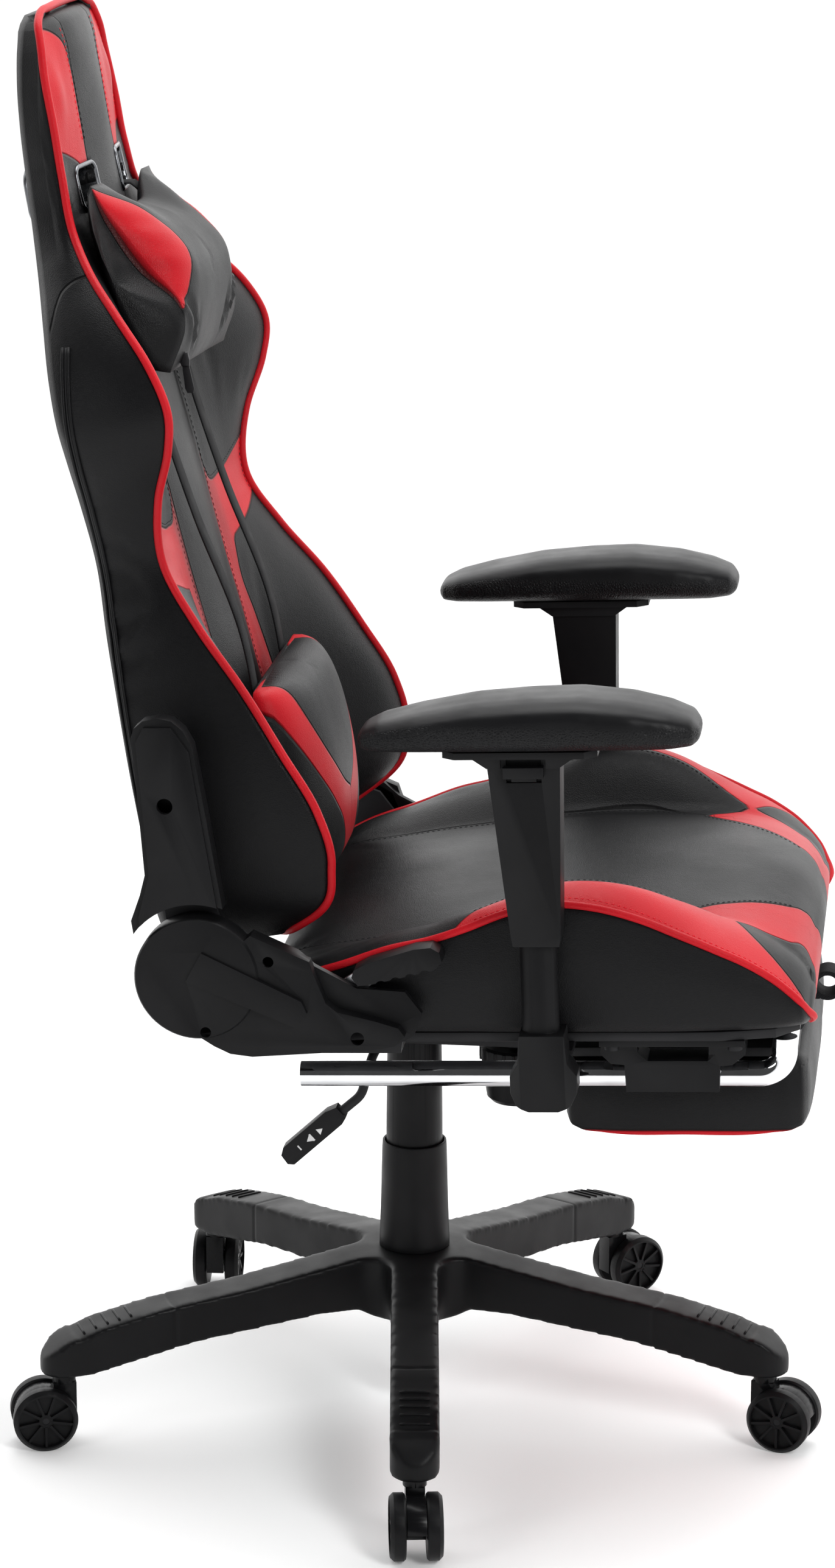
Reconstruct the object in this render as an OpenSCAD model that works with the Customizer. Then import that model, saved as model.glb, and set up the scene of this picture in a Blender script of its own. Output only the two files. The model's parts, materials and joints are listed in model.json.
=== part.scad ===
// Gaming chair with a reclining back, adjustable armrests and a slide-out footrest.
// The chair faces -Y, +Z is up, and the origin is on the floor under the gas lift.
// Seat shapes are drawn in the seat's own frame and back shapes in the back's own frame.

/* [Base and casters] */
// Distance from the column to each caster stem
pin_radius = 320; // [290:1:340]
// Direction of the first leg, which points to the sitter's right
first_leg_angle = -82.9; // [-90:0.1:-75]
// Half the width of a leg
leg_half_w = 20.5; // [17:0.5:23]
// Radius of the inside corner between two legs
leg_fillet_r = 22; // [16:1:28]
// Height of the hub's top above the floor
hub_top_z = 147; // [141:1:156]
// Distance from the column at which a toe cap begins
toe_cap_start = 225; // [200:1:250]
// Caster wheel radius
wheel_r = 28; // [27:0.5:28]
// Width of one caster wheel
wheel_w = 13; // [11:0.5:14]
// Clear gap between the two wheels of a caster
wheel_gap = 17.4; // [15:0.2:20]
// Distance of the axle behind the swivel stem
caster_trail = 18; // [14:0.5:22]

/* [Gas lift] */
// Outside diameter of the stand tube
stand_tube_d = 50; // [46:0.5:52]
// Outside diameter of the pressure tube
pressure_tube_d = 28; // [27:0.5:28]
// Height at which the lower column cover ends
cover_rim_z = 244; // [231:1:251]

/* [Seat] */
// Backward pitch of the seat
seat_pitch = 2.3; // [0:0.1:4]
// Tilt pivot's distance in front of the column
tilt_f = 45; // [40:1:50]
// Tilt pivot's height above the floor
tilt_z = 391; // [389:1:393]
// Height of the pan's underside in the seat frame
pan_z = 449; // [447:1:451]
// Distance from the middle to the centre of an armrest
arm_x = 279; // [277:0.5:284]
// Height of the armrest sleeve's lower end in the seat frame
sleeve_z = 544; // [530:1:550]

/* [Back] */
// Backward lean of the upright back
back_lean = 9.5; // [5:0.5:15]
// Recliner pivot's distance behind the column
recline_back = 142.2; // [138:0.1:146]
// Recliner pivot's height above the floor
recline_z = 474.1; // [471:0.1:478]
// Height of the belt slots' centre above the recliner pivot
slot_h = 623; // [615:1:630]
// Distance from the middle to a belt slot's centre
slot_x = 70; // [66:1:74]

/* [Footrest] */
// Distance from the middle to a rail's axis
rail_x = 215; // [208:1:220]
// Height of the rails' axis in the seat frame
rail_z = 411.5; // [408:0.5:413]
// Diameter of the rails and the crossbar
rail_d = 21; // [18:0.5:22]
// Crossbar's distance in front of the column in the seat frame
crossbar_f = 331; // [325:1:335]
// Height of the crossbar's axis in the seat frame
crossbar_z = 433; // [431:0.5:434]

/* [Hidden] */
$fn = 64;
tiny = 0.01;
run_gap = 0.05;     // radial clearance of a pin that turns in its bore
slide_gap = 0.35;   // clearance of parts that slide past each other

leg_step = 72;
caster_headings = [-80, -17, 40, 92, 197];
caster_x = wheel_gap / 2;
stem_r = 5.5;
stem_top_z = 86;
leg_under_z = 66;
axle_r = 3;

seat_datum = 425;        // height of the tilt pivot in the seat frame

recline_plate_x = 256;   // inner face of the recliner's lower steel plate
plate_t = 5;
recline_cover_x = 267.2; // inner face of the recliner's plastic covers
recline_pin_r = 7;
flange_z = pan_z - plate_t;
post_f = [136, 142];     // centres of the post's two round ends
post_r = 12;
post_top_z = 638;
sleeve_top_z = 700.5;
pad_z = 706;

plastic = [0.06, 0.06, 0.065];
leather = [0.07, 0.07, 0.075];
red = [0.78, 0.09, 0.13];
steel = [0.55, 0.56, 0.58];
chrome = [0.85, 0.86, 0.88];
painted = [0.1, 0.1, 0.11];
webbing = [0.05, 0.05, 0.05];
bezel_grey = [0.5, 0.5, 0.52];

// ---------- frames and helpers ----------

// Seat frame: x, y = -distance forward, z = height, before the seat's pitch
module in_seat() {
    translate([0, -tilt_f, tilt_z])
        rotate([-seat_pitch, 0, 0])
            translate([0, tilt_f, -seat_datum])
                children();
}

// Back frame: x, y = -depth forward, z = height along the back from the recliner pivot
module in_back() {
    translate([0, recline_back, recline_z])
        rotate([-back_lean, 0, 0])
            children();
}

// Extrudes a side outline of [forward, height] points between two x values
module side_plate(x_low, x_high) {
    translate([x_low, 0, 0])
        rotate([90, 0, 90])
            linear_extrude(x_high - x_low)
                mirror([1, 0])
                    children();
}

// Straight round bar between two points
module bar(a, b, d) {
    run = b - a;
    length = norm(run);
    translate(a)
        rotate([0, acos(run.z / length), atan2(run.y, run.x)])
            cylinder(d = d, h = length);
}

// Round bar through a list of points, with slightly proud ball corners
module bent_bar(points, d) {
    for (i = [0:len(points) - 2])
        bar(points[i], points[i + 1], d);
    for (i = [1:len(points) - 2])
        translate(points[i])
            sphere(d = d + 1);
}

module both_sides() {
    children();
    mirror([1, 0, 0])
        children();
}

// Closed skin through a list of rings that all have the same number of points
module loft(rings) {
    n = len(rings[0]);
    m = len(rings);
    sides = [
        for (j = [0:m - 2], i = [0:n - 1], half = [0, 1])
            let (a = j * n + i, b = j * n + (i + 1) % n)
                half == 0 ? [a, b, b + n] : [a, b + n, a + n]
    ];
    ends = [[for (i = [n - 1:-1:0]) i], [for (i = [0:n - 1]) (m - 1) * n + i]];
    polyhedron(points = [for (ring = rings) each ring], faces = concat(sides, ends));
}

// Signed power, for rounded-square outlines
function spow(v, p) = sign(v) * pow(abs(v), p);

// 0 below the start, 1 above the end and smooth between
function ease(t) = let (c = min(1, max(0, t))) c * c * (3 - 2 * c);

// Rounded-square ring of half sizes [a, b] in the plane of two axes
function soft_ring(a, b, roundness, count) = [
    for (i = [0:count - 1])
        let (t = 360 * i / count)
            [a * spow(cos(t), roundness), b * spow(sin(t), roundness)]
];

// ---------- base ----------

function leg_angle(k) = first_leg_angle + leg_step * k;

// Plan outline of the five legs, with round tips and filleted inside corners
function star_outline(w) = [
    for (k = [0:4]) each concat(
        [for (a = [-90:15:90])
            let (t = leg_angle(k) - 90)
                pin_radius * [cos(t), sin(t)] + w * [cos(t + a), sin(t + a)]],
        [for (a = [-54:13.5:54])
            let (t = leg_angle(k) - 90 + leg_step / 2,
                 reach = (w + leg_fillet_r) / sin(leg_step / 2))
                reach * [cos(t), sin(t)] + leg_fillet_r * [cos(t + 180 - a), sin(t + 180 - a)]]
    )
];

// Half section of the legs: distance from the column against height
function leg_profile(drop) = [
    [0, 90], [48, 90], [60, 97], [95, 97], [206, 85.5], [300, leg_under_z + 0.5],
    [312, leg_under_z], [345, leg_under_z], [345, 74 - drop], [337, 85 - drop], [322, 96 - drop],
    [290, 108 - drop], [235, 119 - drop], [160, 128 - drop], [94, 139 - drop], [60, 145 - drop],
    [40, hub_top_z - drop], [0, hub_top_z - drop]
];

module star_body(w, drop) {
    intersection() {
        translate([0, 0, 60])
            linear_extrude(100)
                polygon(star_outline(w));
        rotate_extrude()
            polygon(leg_profile(drop));
    }
}

module stem_sockets() {
    for (k = [0:4])
        rotate([0, 0, leg_angle(k)])
            translate([0, -pin_radius, leg_under_z - 1])
                cylinder(r = stem_r + run_gap, h = stem_top_z + 1 - leg_under_z + 1);
}

cap_t = 1.6;

module base_star() {
    color(plastic)
        difference() {
            union() {
                star_body(leg_half_w - cap_t, cap_t);
                intersection() {
                    star_body(leg_half_w, 0);
                    cylinder(r = toe_cap_start, h = 200);
                }
            }
            translate([0, 0, 70])
                cylinder(d = stand_tube_d, h = 100);
            stem_sockets();
        }
}

module toe_caps() {
    rib_w = 1.8;
    color(plastic)
        difference() {
            union() {
                star_body(leg_half_w, 0);
                intersection() {
                    star_body(leg_half_w * 0.62, -0.9);
                    for (r = [262:10.5:305])
                        difference() {
                            cylinder(r = r + rib_w / 2, h = 200);
                            cylinder(r = r - rib_w / 2, h = 200);
                        }
                }
            }
            cylinder(r = toe_cap_start + 0.2, h = 200);
            star_body(leg_half_w - cap_t, cap_t);
        }
}

// ---------- gas lift ----------

module stand_tube() {
    bush_z = 106;
    color(steel)
        rotate_extrude()
            polygon([
                [5, 28], [21, 28], [21, 70], [stand_tube_d / 2, 84], [stand_tube_d / 2, 156],
                [pressure_tube_d / 2 + run_gap, 156], [pressure_tube_d / 2 + run_gap, bush_z],
                [18, bush_z], [18, 32], [5, 32]
            ]);
}

module piston_rod() {
    color(steel)
        union() {
            translate([0, 0, 24])
                cylinder(r = 5, h = 230);
            translate([0, 0, 22])
                cylinder(r = 8, h = 6);
            translate([0, 0, 254])
                cylinder(r = 10.5, h = 10);
        }
}

module pressure_tube() {
    inner_r = 11;
    color(steel)
        union() {
            rotate_extrude()
                polygon([
                    [5.4, 86], [pressure_tube_d / 2, 86], [pressure_tube_d / 2, 380],
                    [0, 380], [0, 366], [inner_r, 366], [inner_r, 92], [5.4, 92]
                ]);
            translate([0, 0, 380])
                cylinder(r = 4, h = 4);
        }
}

module column_cover_upper() {
    color(plastic)
        rotate_extrude()
            polygon([
                [25, 211], [24.6, 266], [23.6, 350], [pressure_tube_d / 2, 350],
                [pressure_tube_d / 2, 347], [21.8, 347], [22.8, 266], [23.2, 211]
            ]);
}

module column_cover_lower() {
    color(plastic)
        rotate_extrude()
            polygon([
                [31, hub_top_z], [31, hub_top_z + 6], [29.8, 181], [28.4, cover_rim_z - 6],
                [28, cover_rim_z], [26, cover_rim_z], [26, cover_rim_z - 6], [27.6, 181],
                [28.6, hub_top_z]
            ]);
}

// ---------- casters ----------

// Places a caster's pieces at the end of leg k, turned to its own heading
module at_caster(k) {
    t = leg_angle(k);
    translate([pin_radius * sin(t), -pin_radius * cos(t), 0])
        rotate([0, 0, caster_headings[k]])
            children();
}

module on_axle() {
    translate([0, -caster_trail, wheel_r])
        rotate([0, 90, 0])
            children();
}

module caster_hood(k) {
    web_half = caster_x - 0.7;
    color(plastic)
        at_caster(k)
            difference() {
                union() {
                    on_axle()
                        cylinder(r = 11, h = 2 * web_half, center = true);
                    side_plate(-web_half, web_half)
                        union() {
                            intersection() {
                                translate([caster_trail, wheel_r])
                                    circle(r = 26);
                                polygon([[48, 31], [48, 58], [-10, 58], [-10, 31]]);
                            }
                            polygon([[-10, 22], [10, 20], [10, 58], [-10, 58]]);
                        }
                    translate([0, 0, 57.5])
                        cylinder(r = 10, h = leg_under_z - 0.6 - 57.5);
                }
                translate([0, 0, 40])
                    cylinder(r = stem_r, h = 60);
                on_axle()
                    cylinder(r = axle_r, h = 30, center = true);
            }
}

module caster_pins(k) {
    color(steel)
        at_caster(k) {
            translate([0, 0, 40])
                cylinder(r = stem_r, h = stem_top_z - 40);
            on_axle()
                cylinder(r = axle_r, h = 2 * (caster_x + wheel_w) - 5, center = true);
        }
}

module caster_wheels(k) {
    spokes = 9;
    recess = 5;
    edge = 1.6;
    bore_r = axle_r + run_gap;
    out_x = caster_x + wheel_w;
    rim_in_r = wheel_r - 4.5;
    face_x = out_x - recess;
    color(plastic)
        at_caster(k)
            on_axle()
                both_ends()
                    union() {
                        rotate_extrude()
                            polygon([
                                [bore_r, caster_x], [wheel_r - edge, caster_x], [wheel_r, caster_x + edge],
                                [wheel_r, out_x - 2 * edge], [wheel_r - 2 * edge, out_x],
                                [rim_in_r, out_x], [rim_in_r, face_x], [6, face_x], [6, out_x - 2],
                                [bore_r, out_x - 2]
                            ]);
                        for (i = [0:spokes - 1])
                            rotate([0, 0, 360 * i / spokes])
                                translate([5.5, -1.1, face_x - tiny])
                                    cube([rim_in_r - 5, 2.2, recess - 1.4]);
                    }
}

module both_ends() {
    children();
    mirror([0, 0, 1])
        children();
}

module caster_1_hood() caster_hood(0);
module caster_1_pins() caster_pins(0);
module caster_1_wheels() caster_wheels(0);
module caster_2_hood() caster_hood(1);
module caster_2_pins() caster_pins(1);
module caster_2_wheels() caster_wheels(1);
module caster_3_hood() caster_hood(2);
module caster_3_pins() caster_pins(2);
module caster_3_wheels() caster_wheels(2);
module caster_4_hood() caster_hood(3);
module caster_4_pins() caster_pins(3);
module caster_4_wheels() caster_wheels(3);
module caster_5_hood() caster_hood(4);
module caster_5_pins() caster_pins(4);
module caster_5_wheels() caster_wheels(4);

// ---------- tilt mechanism ----------

mech_half = 62;
knob_f = 90;
barrel_z = 338;
pin_r = 5;
lock_z = 370;
lock_f = -7;
rod_d = 8;
rod_x = -192;

module mech_housing() {
    wall = 3;
    outline = [[118, 362], [118, 394], [30, 394], [-75, 370], [-75, 358], [-30, 352], [100, 352]];
    inner = [[115, 365], [115, 406], [-72, 406], [-72, 361], [-29, 355], [99, 355]];
    color(painted)
        difference() {
            union() {
                difference() {
                    side_plate(-mech_half, mech_half)
                        polygon(outline);
                    side_plate(wall - mech_half, mech_half - wall)
                        polygon(inner);
                }
                translate([0, 0, 352])
                    cylinder(r = 21, h = 26);
                translate([0, -knob_f, barrel_z])
                    cylinder(r = 22, h = 390 - barrel_z);
                side_plate(-mech_half, wall - mech_half)
                    translate([tilt_f, tilt_z])
                        circle(r = 11);
                side_plate(mech_half - wall, mech_half)
                    translate([tilt_f, tilt_z])
                        circle(r = 11);
            }
            translate([0, 0, 346])
                cylinder(r = pressure_tube_d / 2 + run_gap, h = 60);
            translate([0, -knob_f, barrel_z + 4])
                cylinder(r = 18, h = 60);
            translate([0, -knob_f, barrel_z - 1])
                cylinder(r = pin_r + run_gap, h = 10);
            translate([-mech_half - 1, -tilt_f, tilt_z])
                rotate([0, 90, 0])
                    cylinder(r = pin_r, h = 2 * mech_half + 2);
            translate([-mech_half - 1, -lock_f, lock_z])
                rotate([0, 90, 0])
                    cylinder(r = 8 + run_gap, h = 30);
        }
}

module mech_pivot_pin() {
    color(steel)
        translate([0, -tilt_f, tilt_z])
            rotate([0, 90, 0])
                difference() {
                    cylinder(r = pin_r, h = 148, center = true);
                    for (end = [-1, 1])
                        translate([0, 0, 71 * end])
                            rotate([90, 0, 0])
                                cylinder(r = 1.2, h = 14, center = true);
                }
}

// Coil spring round the knob's bolt, one ring of the wire every 20 degrees
module tension_spring() {
    turns = 5;
    coil_r = 13;
    wire_r = 2;
    low = barrel_z + 4 + wire_r + 0.5;
    pitch = 7;
    sides = 8;
    color(steel)
        translate([0, -knob_f, low])
            loft([
                for (a = [0:20:360 * turns]) [
                    for (i = [0:sides - 1])
                        let (t = -360 * i / sides, r = coil_r + wire_r * cos(t))
                            [r * cos(a), r * sin(a), pitch * a / 360 + wire_r * sin(t)]
                ]
            ]);
}

module tension_knob() {
    top_z = barrel_z - 2;
    low_z = 285;
    ribs = 24;
    color(plastic)
        translate([0, -knob_f, 0])
            union() {
                rotate_extrude()
                    polygon([
                        [0, low_z], [22, low_z], [26, low_z + 4], [31, top_z - 14], [32, top_z - 10],
                        [32, top_z - 2], [30, top_z], [0, top_z]
                    ]);
                for (i = [0:ribs - 1])
                    rotate([0, 0, 360 * i / ribs])
                        translate([31, 0, top_z - 13])
                            cylinder(r = 2, h = 11);
                cylinder_up(pin_r, top_z - 4, barrel_z + 6);
            }
}

module cylinder_up(r, z_low, z_high) {
    translate([0, 0, z_low])
        cylinder(r = r, h = z_high - z_low);
}

module lock_sleeve() {
    color(plastic)
        translate([0, -lock_f, lock_z])
            rotate([0, -90, 0])
                difference() {
                    union() {
                        cylinder_up(8, 46, 74);
                        cylinder_up(11, 77, 84);
                        cylinder_up(8, 73, 78);
                    }
                    cylinder_up(rod_d / 2 + run_gap, 40, 90);
                }
}

rod_knee = [rod_x, 20, 350];
rod_tip = [rod_x, 46, 326];

// The rod turns in the lock sleeve, climbs over the rail and bends down to the paddle
module lever_rod() {
    color(painted)
        bent_bar([
            [-40, -lock_f, lock_z], [-100, -lock_f, lock_z], [-126, -lock_f, 386],
            [rod_x + 8, -lock_f, 390], [rod_x, 10, 384], rod_knee, rod_tip
        ], rod_d);
}

module lever_paddle() {
    slope = atan2(rod_knee.z - rod_tip.z, rod_tip.y - rod_knee.y);
    color(plastic)
        translate(rod_tip)
            rotate([-slope, 0, 0])
                difference() {
                    side_plate(-7, 7)
                        polygon([
                            [12, -6], [12, 6], [2, 9], [-46, 9], [-52, 5], [-53, -4], [-49, -8], [6, -8]
                        ]);
                    bar([0, -13, 0], [0, 0.2, 0], rod_d);
                }
}

// ---------- seat ----------

seat_bottom_z = pan_z + 8;

// Stations from back to front: forward, half width, piping height, crest height, middle height
seat_stations = [
    [-92, 232, 494, 496, 498], [-70, 244, 503, 505, 505], [-25, 251, 517, 519, 512],
    [15, 254, 531, 533, 517], [50, 255, 539, 542, 520], [80, 255, 549, 553, 522],
    [107, 256, 562, 567, 524], [155, 256, 574, 581, 527], [210, 256, 563, 576, 530],
    [267, 254, 539, 556, 534], [304, 250, 519, 537, 537], [330, 244, 499, 518, 536],
    [346, 236, 482, 499, 530], [354, 229, 472, 486, 520], [358, 220, 465, 476, 506]
];

// Shares of the half width at which a cushion section is shaped
seat_half_shares = [0.25, 0.5, 0.64, 0.72, 0.8, 0.88, 0.94];
back_half_shares = [0.2, 0.4, 0.6, 0.7, 0.8, 0.88, 0.95, 1];

// The shares from one side to the other, through the middle
function both_ways(shares) = concat(
    [for (i = [len(shares) - 1:-1:0]) -shares[i]], [0], shares
);

function seat_ring(s) =
    let (
        f = s[0], w = s[1], edge = s[2], crest = s[3], mid = s[4],
        top = [for (u = both_ways(seat_half_shares))
            let (rise = ease((abs(u) - 0.6) / 0.3))
                [u * w, -f, mid + (crest - mid) * rise]]
    )
    concat(
        [[-w + 10, -f, seat_bottom_z], [-w + 1, -f, seat_bottom_z + 3], [-w, -f, edge]],
        top,
        [[w, -f, edge], [w - 1, -f, seat_bottom_z + 3], [w - 10, -f, seat_bottom_z]]
    );

module seat_cushion() {
    color(leather)
        in_seat()
            loft([for (s = seat_stations) seat_ring(s)]);
}

module seat_pan() {
    color(painted)
        in_seat()
            translate([0, 0, pan_z])
                linear_extrude(seat_bottom_z - pan_z)
                    polygon([
                        [-225, 88], [225, 88], [240, 70], [246, 20], [246, -280], [236, -325], [215, -344],
                        [-215, -344], [-236, -325], [-246, -280], [-246, 20], [-240, 70]
                    ]);
}

module seat_plate() {
    ear_x = mech_half + 1;
    color(painted)
        in_seat()
            difference() {
                union() {
                    translate([-100, -140, pan_z - 4])
                        cube([200, 220, 4]);
                    both_sides()
                        side_plate(ear_x, ear_x + 5)
                            polygon([
                                [tilt_f - 10, seat_datum - 6], [tilt_f + 10, seat_datum - 6],
                                [tilt_f + 24, pan_z - 4], [tilt_f - 24, pan_z - 4]
                            ]);
                    both_sides()
                        side_plate(ear_x, ear_x + 5)
                            translate([tilt_f, seat_datum])
                                circle(r = 11);
                }
                translate([0, -tilt_f, seat_datum])
                    rotate([0, 90, 0])
                        cylinder(r = pin_r + run_gap, h = 220, center = true);
            }
}

// Bolt positions under the seat: x, forward, underside height
bolt_spots = [
    [82, 110, pan_z - 4], [82, -55, pan_z - 4], [165, 141, flange_z], [195, 141, flange_z],
    [228, -48, flange_z], [228, 2, flange_z], [238, 192, flange_z], [238, 292, flange_z]
];

module seat_bolts() {
    color(steel)
        in_seat()
            both_sides()
                for (spot = bolt_spots)
                    translate([spot[0], -spot[1], spot[2]]) {
                        translate([0, 0, -4])
                            cylinder(r = 6, h = 4);
                        cylinder(r = 3, h = seat_bottom_z - 1 - spot[2]);
                    }
}

// ---------- armrests ----------

module stadium(r, z_low, z_high) {
    translate([0, 0, z_low])
        linear_extrude(z_high - z_low)
            union() {
                for (f = post_f)
                    translate([0, -f])
                        circle(r = r);
                translate([-r, -post_f[1]])
                    square([2 * r, post_f[1] - post_f[0]]);
            }
}

// Post, its rounded foot and the bracket that bolts under the pan, for the sitter's left
module arm_post() {
    foot_mid = 140.5;
    color(plastic)
        in_seat()
            translate([arm_x, 0, 0])
                union() {
                    stadium(post_r, pan_z, post_top_z);
                    intersection() {
                        side_plate(-15, 19)
                            polygon([
                                [foot_mid - 22, 410], [foot_mid - 12, 406], [foot_mid + 12, 406],
                                [foot_mid + 22, 410], [foot_mid + 27, 420], [foot_mid + 27, 434],
                                [foot_mid + 20, 446], [foot_mid + 18, 470], [foot_mid - 18, 470],
                                [foot_mid - 20, 446], [foot_mid - 27, 434], [foot_mid - 27, 420]
                            ]);
                        translate([0, 0, 400])
                            linear_extrude(80)
                                polygon([
                                    [-15, -foot_mid - 27], [12, -foot_mid - 27], [19, -foot_mid - 18],
                                    [19, -foot_mid + 18], [12, -foot_mid + 27], [-15, -foot_mid + 27]
                                ]);
                    }
                    translate([150 - arm_x, -foot_mid - 22, flange_z])
                        cube([arm_x - 150 - 10, 44, plate_t]);
                }
}

module arm_post_left() arm_post();
module arm_post_right() mirror([1, 0, 0]) arm_post();

button_z = [684, 696];

module arm_sleeve() {
    half = 17;
    color(plastic)
        in_seat()
            translate([arm_x, 0, 0])
                difference() {
                    union() {
                        side_plate(-half, half)
                            polygon([
                                [120.5, sleeve_z], [157.5, sleeve_z], [159, sleeve_z + 8],
                                [163, sleeve_top_z + 1], [104, sleeve_top_z + 1], [119, sleeve_z + 8]
                            ]);
                        translate([-27, -193, sleeve_top_z])
                            linear_extrude(pad_z - sleeve_top_z)
                                polygon([
                                    [8, 0], [46, 0], [54, 10], [54, 113],
                                    [46, 123], [8, 123], [0, 113], [0, 10]
                                ]);
                        side_plate(-half - 4, half + 4)
                            polygon([
                                [92, sleeve_top_z], [175, sleeve_top_z],
                                [162, sleeve_top_z - 9], [105, sleeve_top_z - 9]
                            ]);
                    }
                    stadium(post_r + slide_gap, sleeve_z - 1, 690);
                    translate([half - 3.6, -148, button_z[0] - 5])
                        cube([20, 28, button_z[1] - button_z[0] + 8]);
                    translate([half + 0.2, -152, button_z[0] - 5])
                        cube([10, 36, sleeve_top_z - button_z[0] + 5]);
                }
}

module arm_sleeve_left() arm_sleeve();
module arm_sleeve_right() mirror([1, 0, 0]) arm_sleeve();

// Thumb bar on the sleeve's outer face, with a tongue in the sleeve's pocket
module arm_button() {
    face = 17;
    color(plastic)
        in_seat()
            translate([arm_x + face, 0, 0])
                union() {
                    translate([0.5, -150, button_z[0]])
                        cube([7, 32, button_z[1] - button_z[0] - 3]);
                    translate([-3, -144, button_z[0] - 4])
                        cube([4, 20, button_z[1] - button_z[0]]);
                }
}

module arm_button_left() arm_button();
module arm_button_right() mirror([1, 0, 0]) arm_button();

// Stations from the rear tip to the front tip: forward, half width, underside, top
arm_pad_stations = [
    [2, 16, 712, 718], [6, 27, 707, 724], [20, 37, pad_z + 0.2, 730], [50, 43, pad_z + 0.2, 737],
    [95, 46, pad_z + 0.2, 745], [140, 47, pad_z + 0.2, 748.5], [180, 47, pad_z + 0.2, 749.5],
    [220, 45, pad_z + 0.2, 745], [250, 40, pad_z + 0.2, 738], [268, 32, 708, 731], [274, 20, 713, 723]
];

module arm_pad() {
    roundness = 0.62;
    count = 24;
    color(plastic)
        in_seat()
            translate([arm_x, 0, 0])
                loft([
                    for (s = arm_pad_stations) [
                        for (p = soft_ring(s[1], (s[3] - s[2]) / 2, roundness, count))
                            [-p.x, -s[0], (s[3] + s[2]) / 2 + p.y]
                    ]
                ]);
}

module arm_pad_left() arm_pad();
module arm_pad_right() mirror([1, 0, 0]) arm_pad();

// ---------- recliner ----------

// Recliner pivot in the seat frame: forward and height
pivot_f = tilt_f - (recline_back + tilt_f) * cos(seat_pitch) + (recline_z - tilt_z) * sin(seat_pitch);
pivot_z = seat_datum + (recline_back + tilt_f) * sin(seat_pitch) + (recline_z - tilt_z) * cos(seat_pitch);

module recliner_lower_plates() {
    color(painted)
        in_seat()
            both_sides() {
                difference() {
                    union() {
                        side_plate(recline_plate_x, recline_plate_x + plate_t)
                            union() {
                                translate([pivot_f, pivot_z])
                                    circle(r = 42);
                                polygon([
                                    [-170, 488], [-112, flange_z], [22, flange_z], [26, 470],
                                    [-30, 486], [-60, 528], [-110, 548]
                                ]);
                            }
                        translate([200, -22, flange_z])
                            cube([recline_plate_x - 199, 84, plate_t]);
                    }
                    translate([250, -pivot_f, pivot_z])
                        rotate([0, 90, 0])
                            cylinder(r = recline_pin_r, h = 20);
                }
            }
}

module recliner_pins() {
    color(steel)
        in_seat()
            both_sides()
                translate([recline_plate_x - 4, -pivot_f, pivot_z])
                    rotate([0, 90, 0])
                        union() {
                            cylinder(r = recline_pin_r, h = 19);
                            cylinder(r = 11, h = 4);
                        }
}

// Outer plastic covers over the recliner: a base layer, a raised layer, a disc and a bar
module recliner_covers() {
    base_x = recline_cover_x;
    mid_x = base_x + 7;
    top_x = base_x + 21;
    raised = [
        [-93, 551], [-57, 534], [-46, 529], [-43, 519], [-34, 494], [-25, 486.5], [5, 479], [24, 473],
        [29, 466], [21, 458], [2, 454.5], [-96, 449], [-114, 451.5], [-127, 458], [-172, 488]
    ];
    pocket = [
        [-95, 546], [-60, 530], [-50, 524], [-38, 492], [-26, 482], [20, 469], [0, 458],
        [-95, 453], [-125, 462]
    ];
    color(plastic)
        in_seat()
            both_sides()
                difference() {
                    union() {
                        side_plate(base_x, mid_x)
                            polygon([
                                [-93, 551], [-57, 534], [-44, 522], [-10, 503], [29, 500], [42, 482],
                                [35, 463], [20, 455], [-96, 448], [-127, 457], [-172, 488]
                            ]);
                        side_plate(mid_x - tiny, top_x - 2)
                            polygon(raised);
                        translate([base_x, -pivot_f, pivot_z])
                            rotate([0, 90, 0])
                                rotate_extrude()
                                    polygon([[0, 0], [51, 0], [51, 19], [49.5, 21.5], [0, 21.5]]);
                        side_plate(top_x - 3, top_x + 3)
                            polygon([[-133, 538], [-53, 497], [-49, 487], [-59, 475], [-147, 514]]);
                    }
                    side_plate(base_x - 1, top_x - 5)
                        polygon(pocket);
                    translate([base_x - 1, -pivot_f, pivot_z])
                        rotate([0, 90, 0])
                            cylinder(r = 47.5, h = 18);
                    translate([base_x - 1, 9.5, 464.2])
                        rotate([0, 90, 0])
                            cylinder(r = 5.5, h = 40);
                    for (screw = [[-79.5, 529], [-133, 470.5]])
                        translate([top_x - 5, -screw[0], screw[1]])
                            rotate([0, 90, 0])
                                cylinder(r = 4.5, h = 20);
                }
}

lever_f = -33;
lever_z = 490;

module recline_lever() {
    color(steel)
        in_seat()
            mirror([1, 0, 0])
                side_plate(262.2, 266.2)
                    union() {
                        translate([lever_f, lever_z])
                            circle(r = 9);
                        polygon([
                            [lever_f - 4, lever_z + 8], [lever_f + 6, lever_z - 7],
                            [8, 509], [36, 517], [34, 526], [-2, 521]
                        ]);
                    }
}

// Grip slipped on the lever's front end, with a scalloped underside for the fingers
module recline_grip() {
    color(plastic)
        in_seat()
            mirror([1, 0, 0])
                difference() {
                    side_plate(259, 281)
                        difference() {
                            polygon([
                                [-13, 514], [-8, 507], [4, 508.5], [54, 520], [61, 527],
                                [59, 535], [52, 539], [38, 537.5], [0, 526], [-11, 520]
                            ]);
                            for (i = [0:3])
                                translate([11 + 12 * i, 506.5 + 2.9 * i])
                                    circle(r = 5);
                        }
                    side_plate(262.2, 266.2)
                        polygon([[-14, 500], [8, 509], [36, 517], [34, 526], [-2, 521], [-14, 516]]);
                }
}

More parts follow.
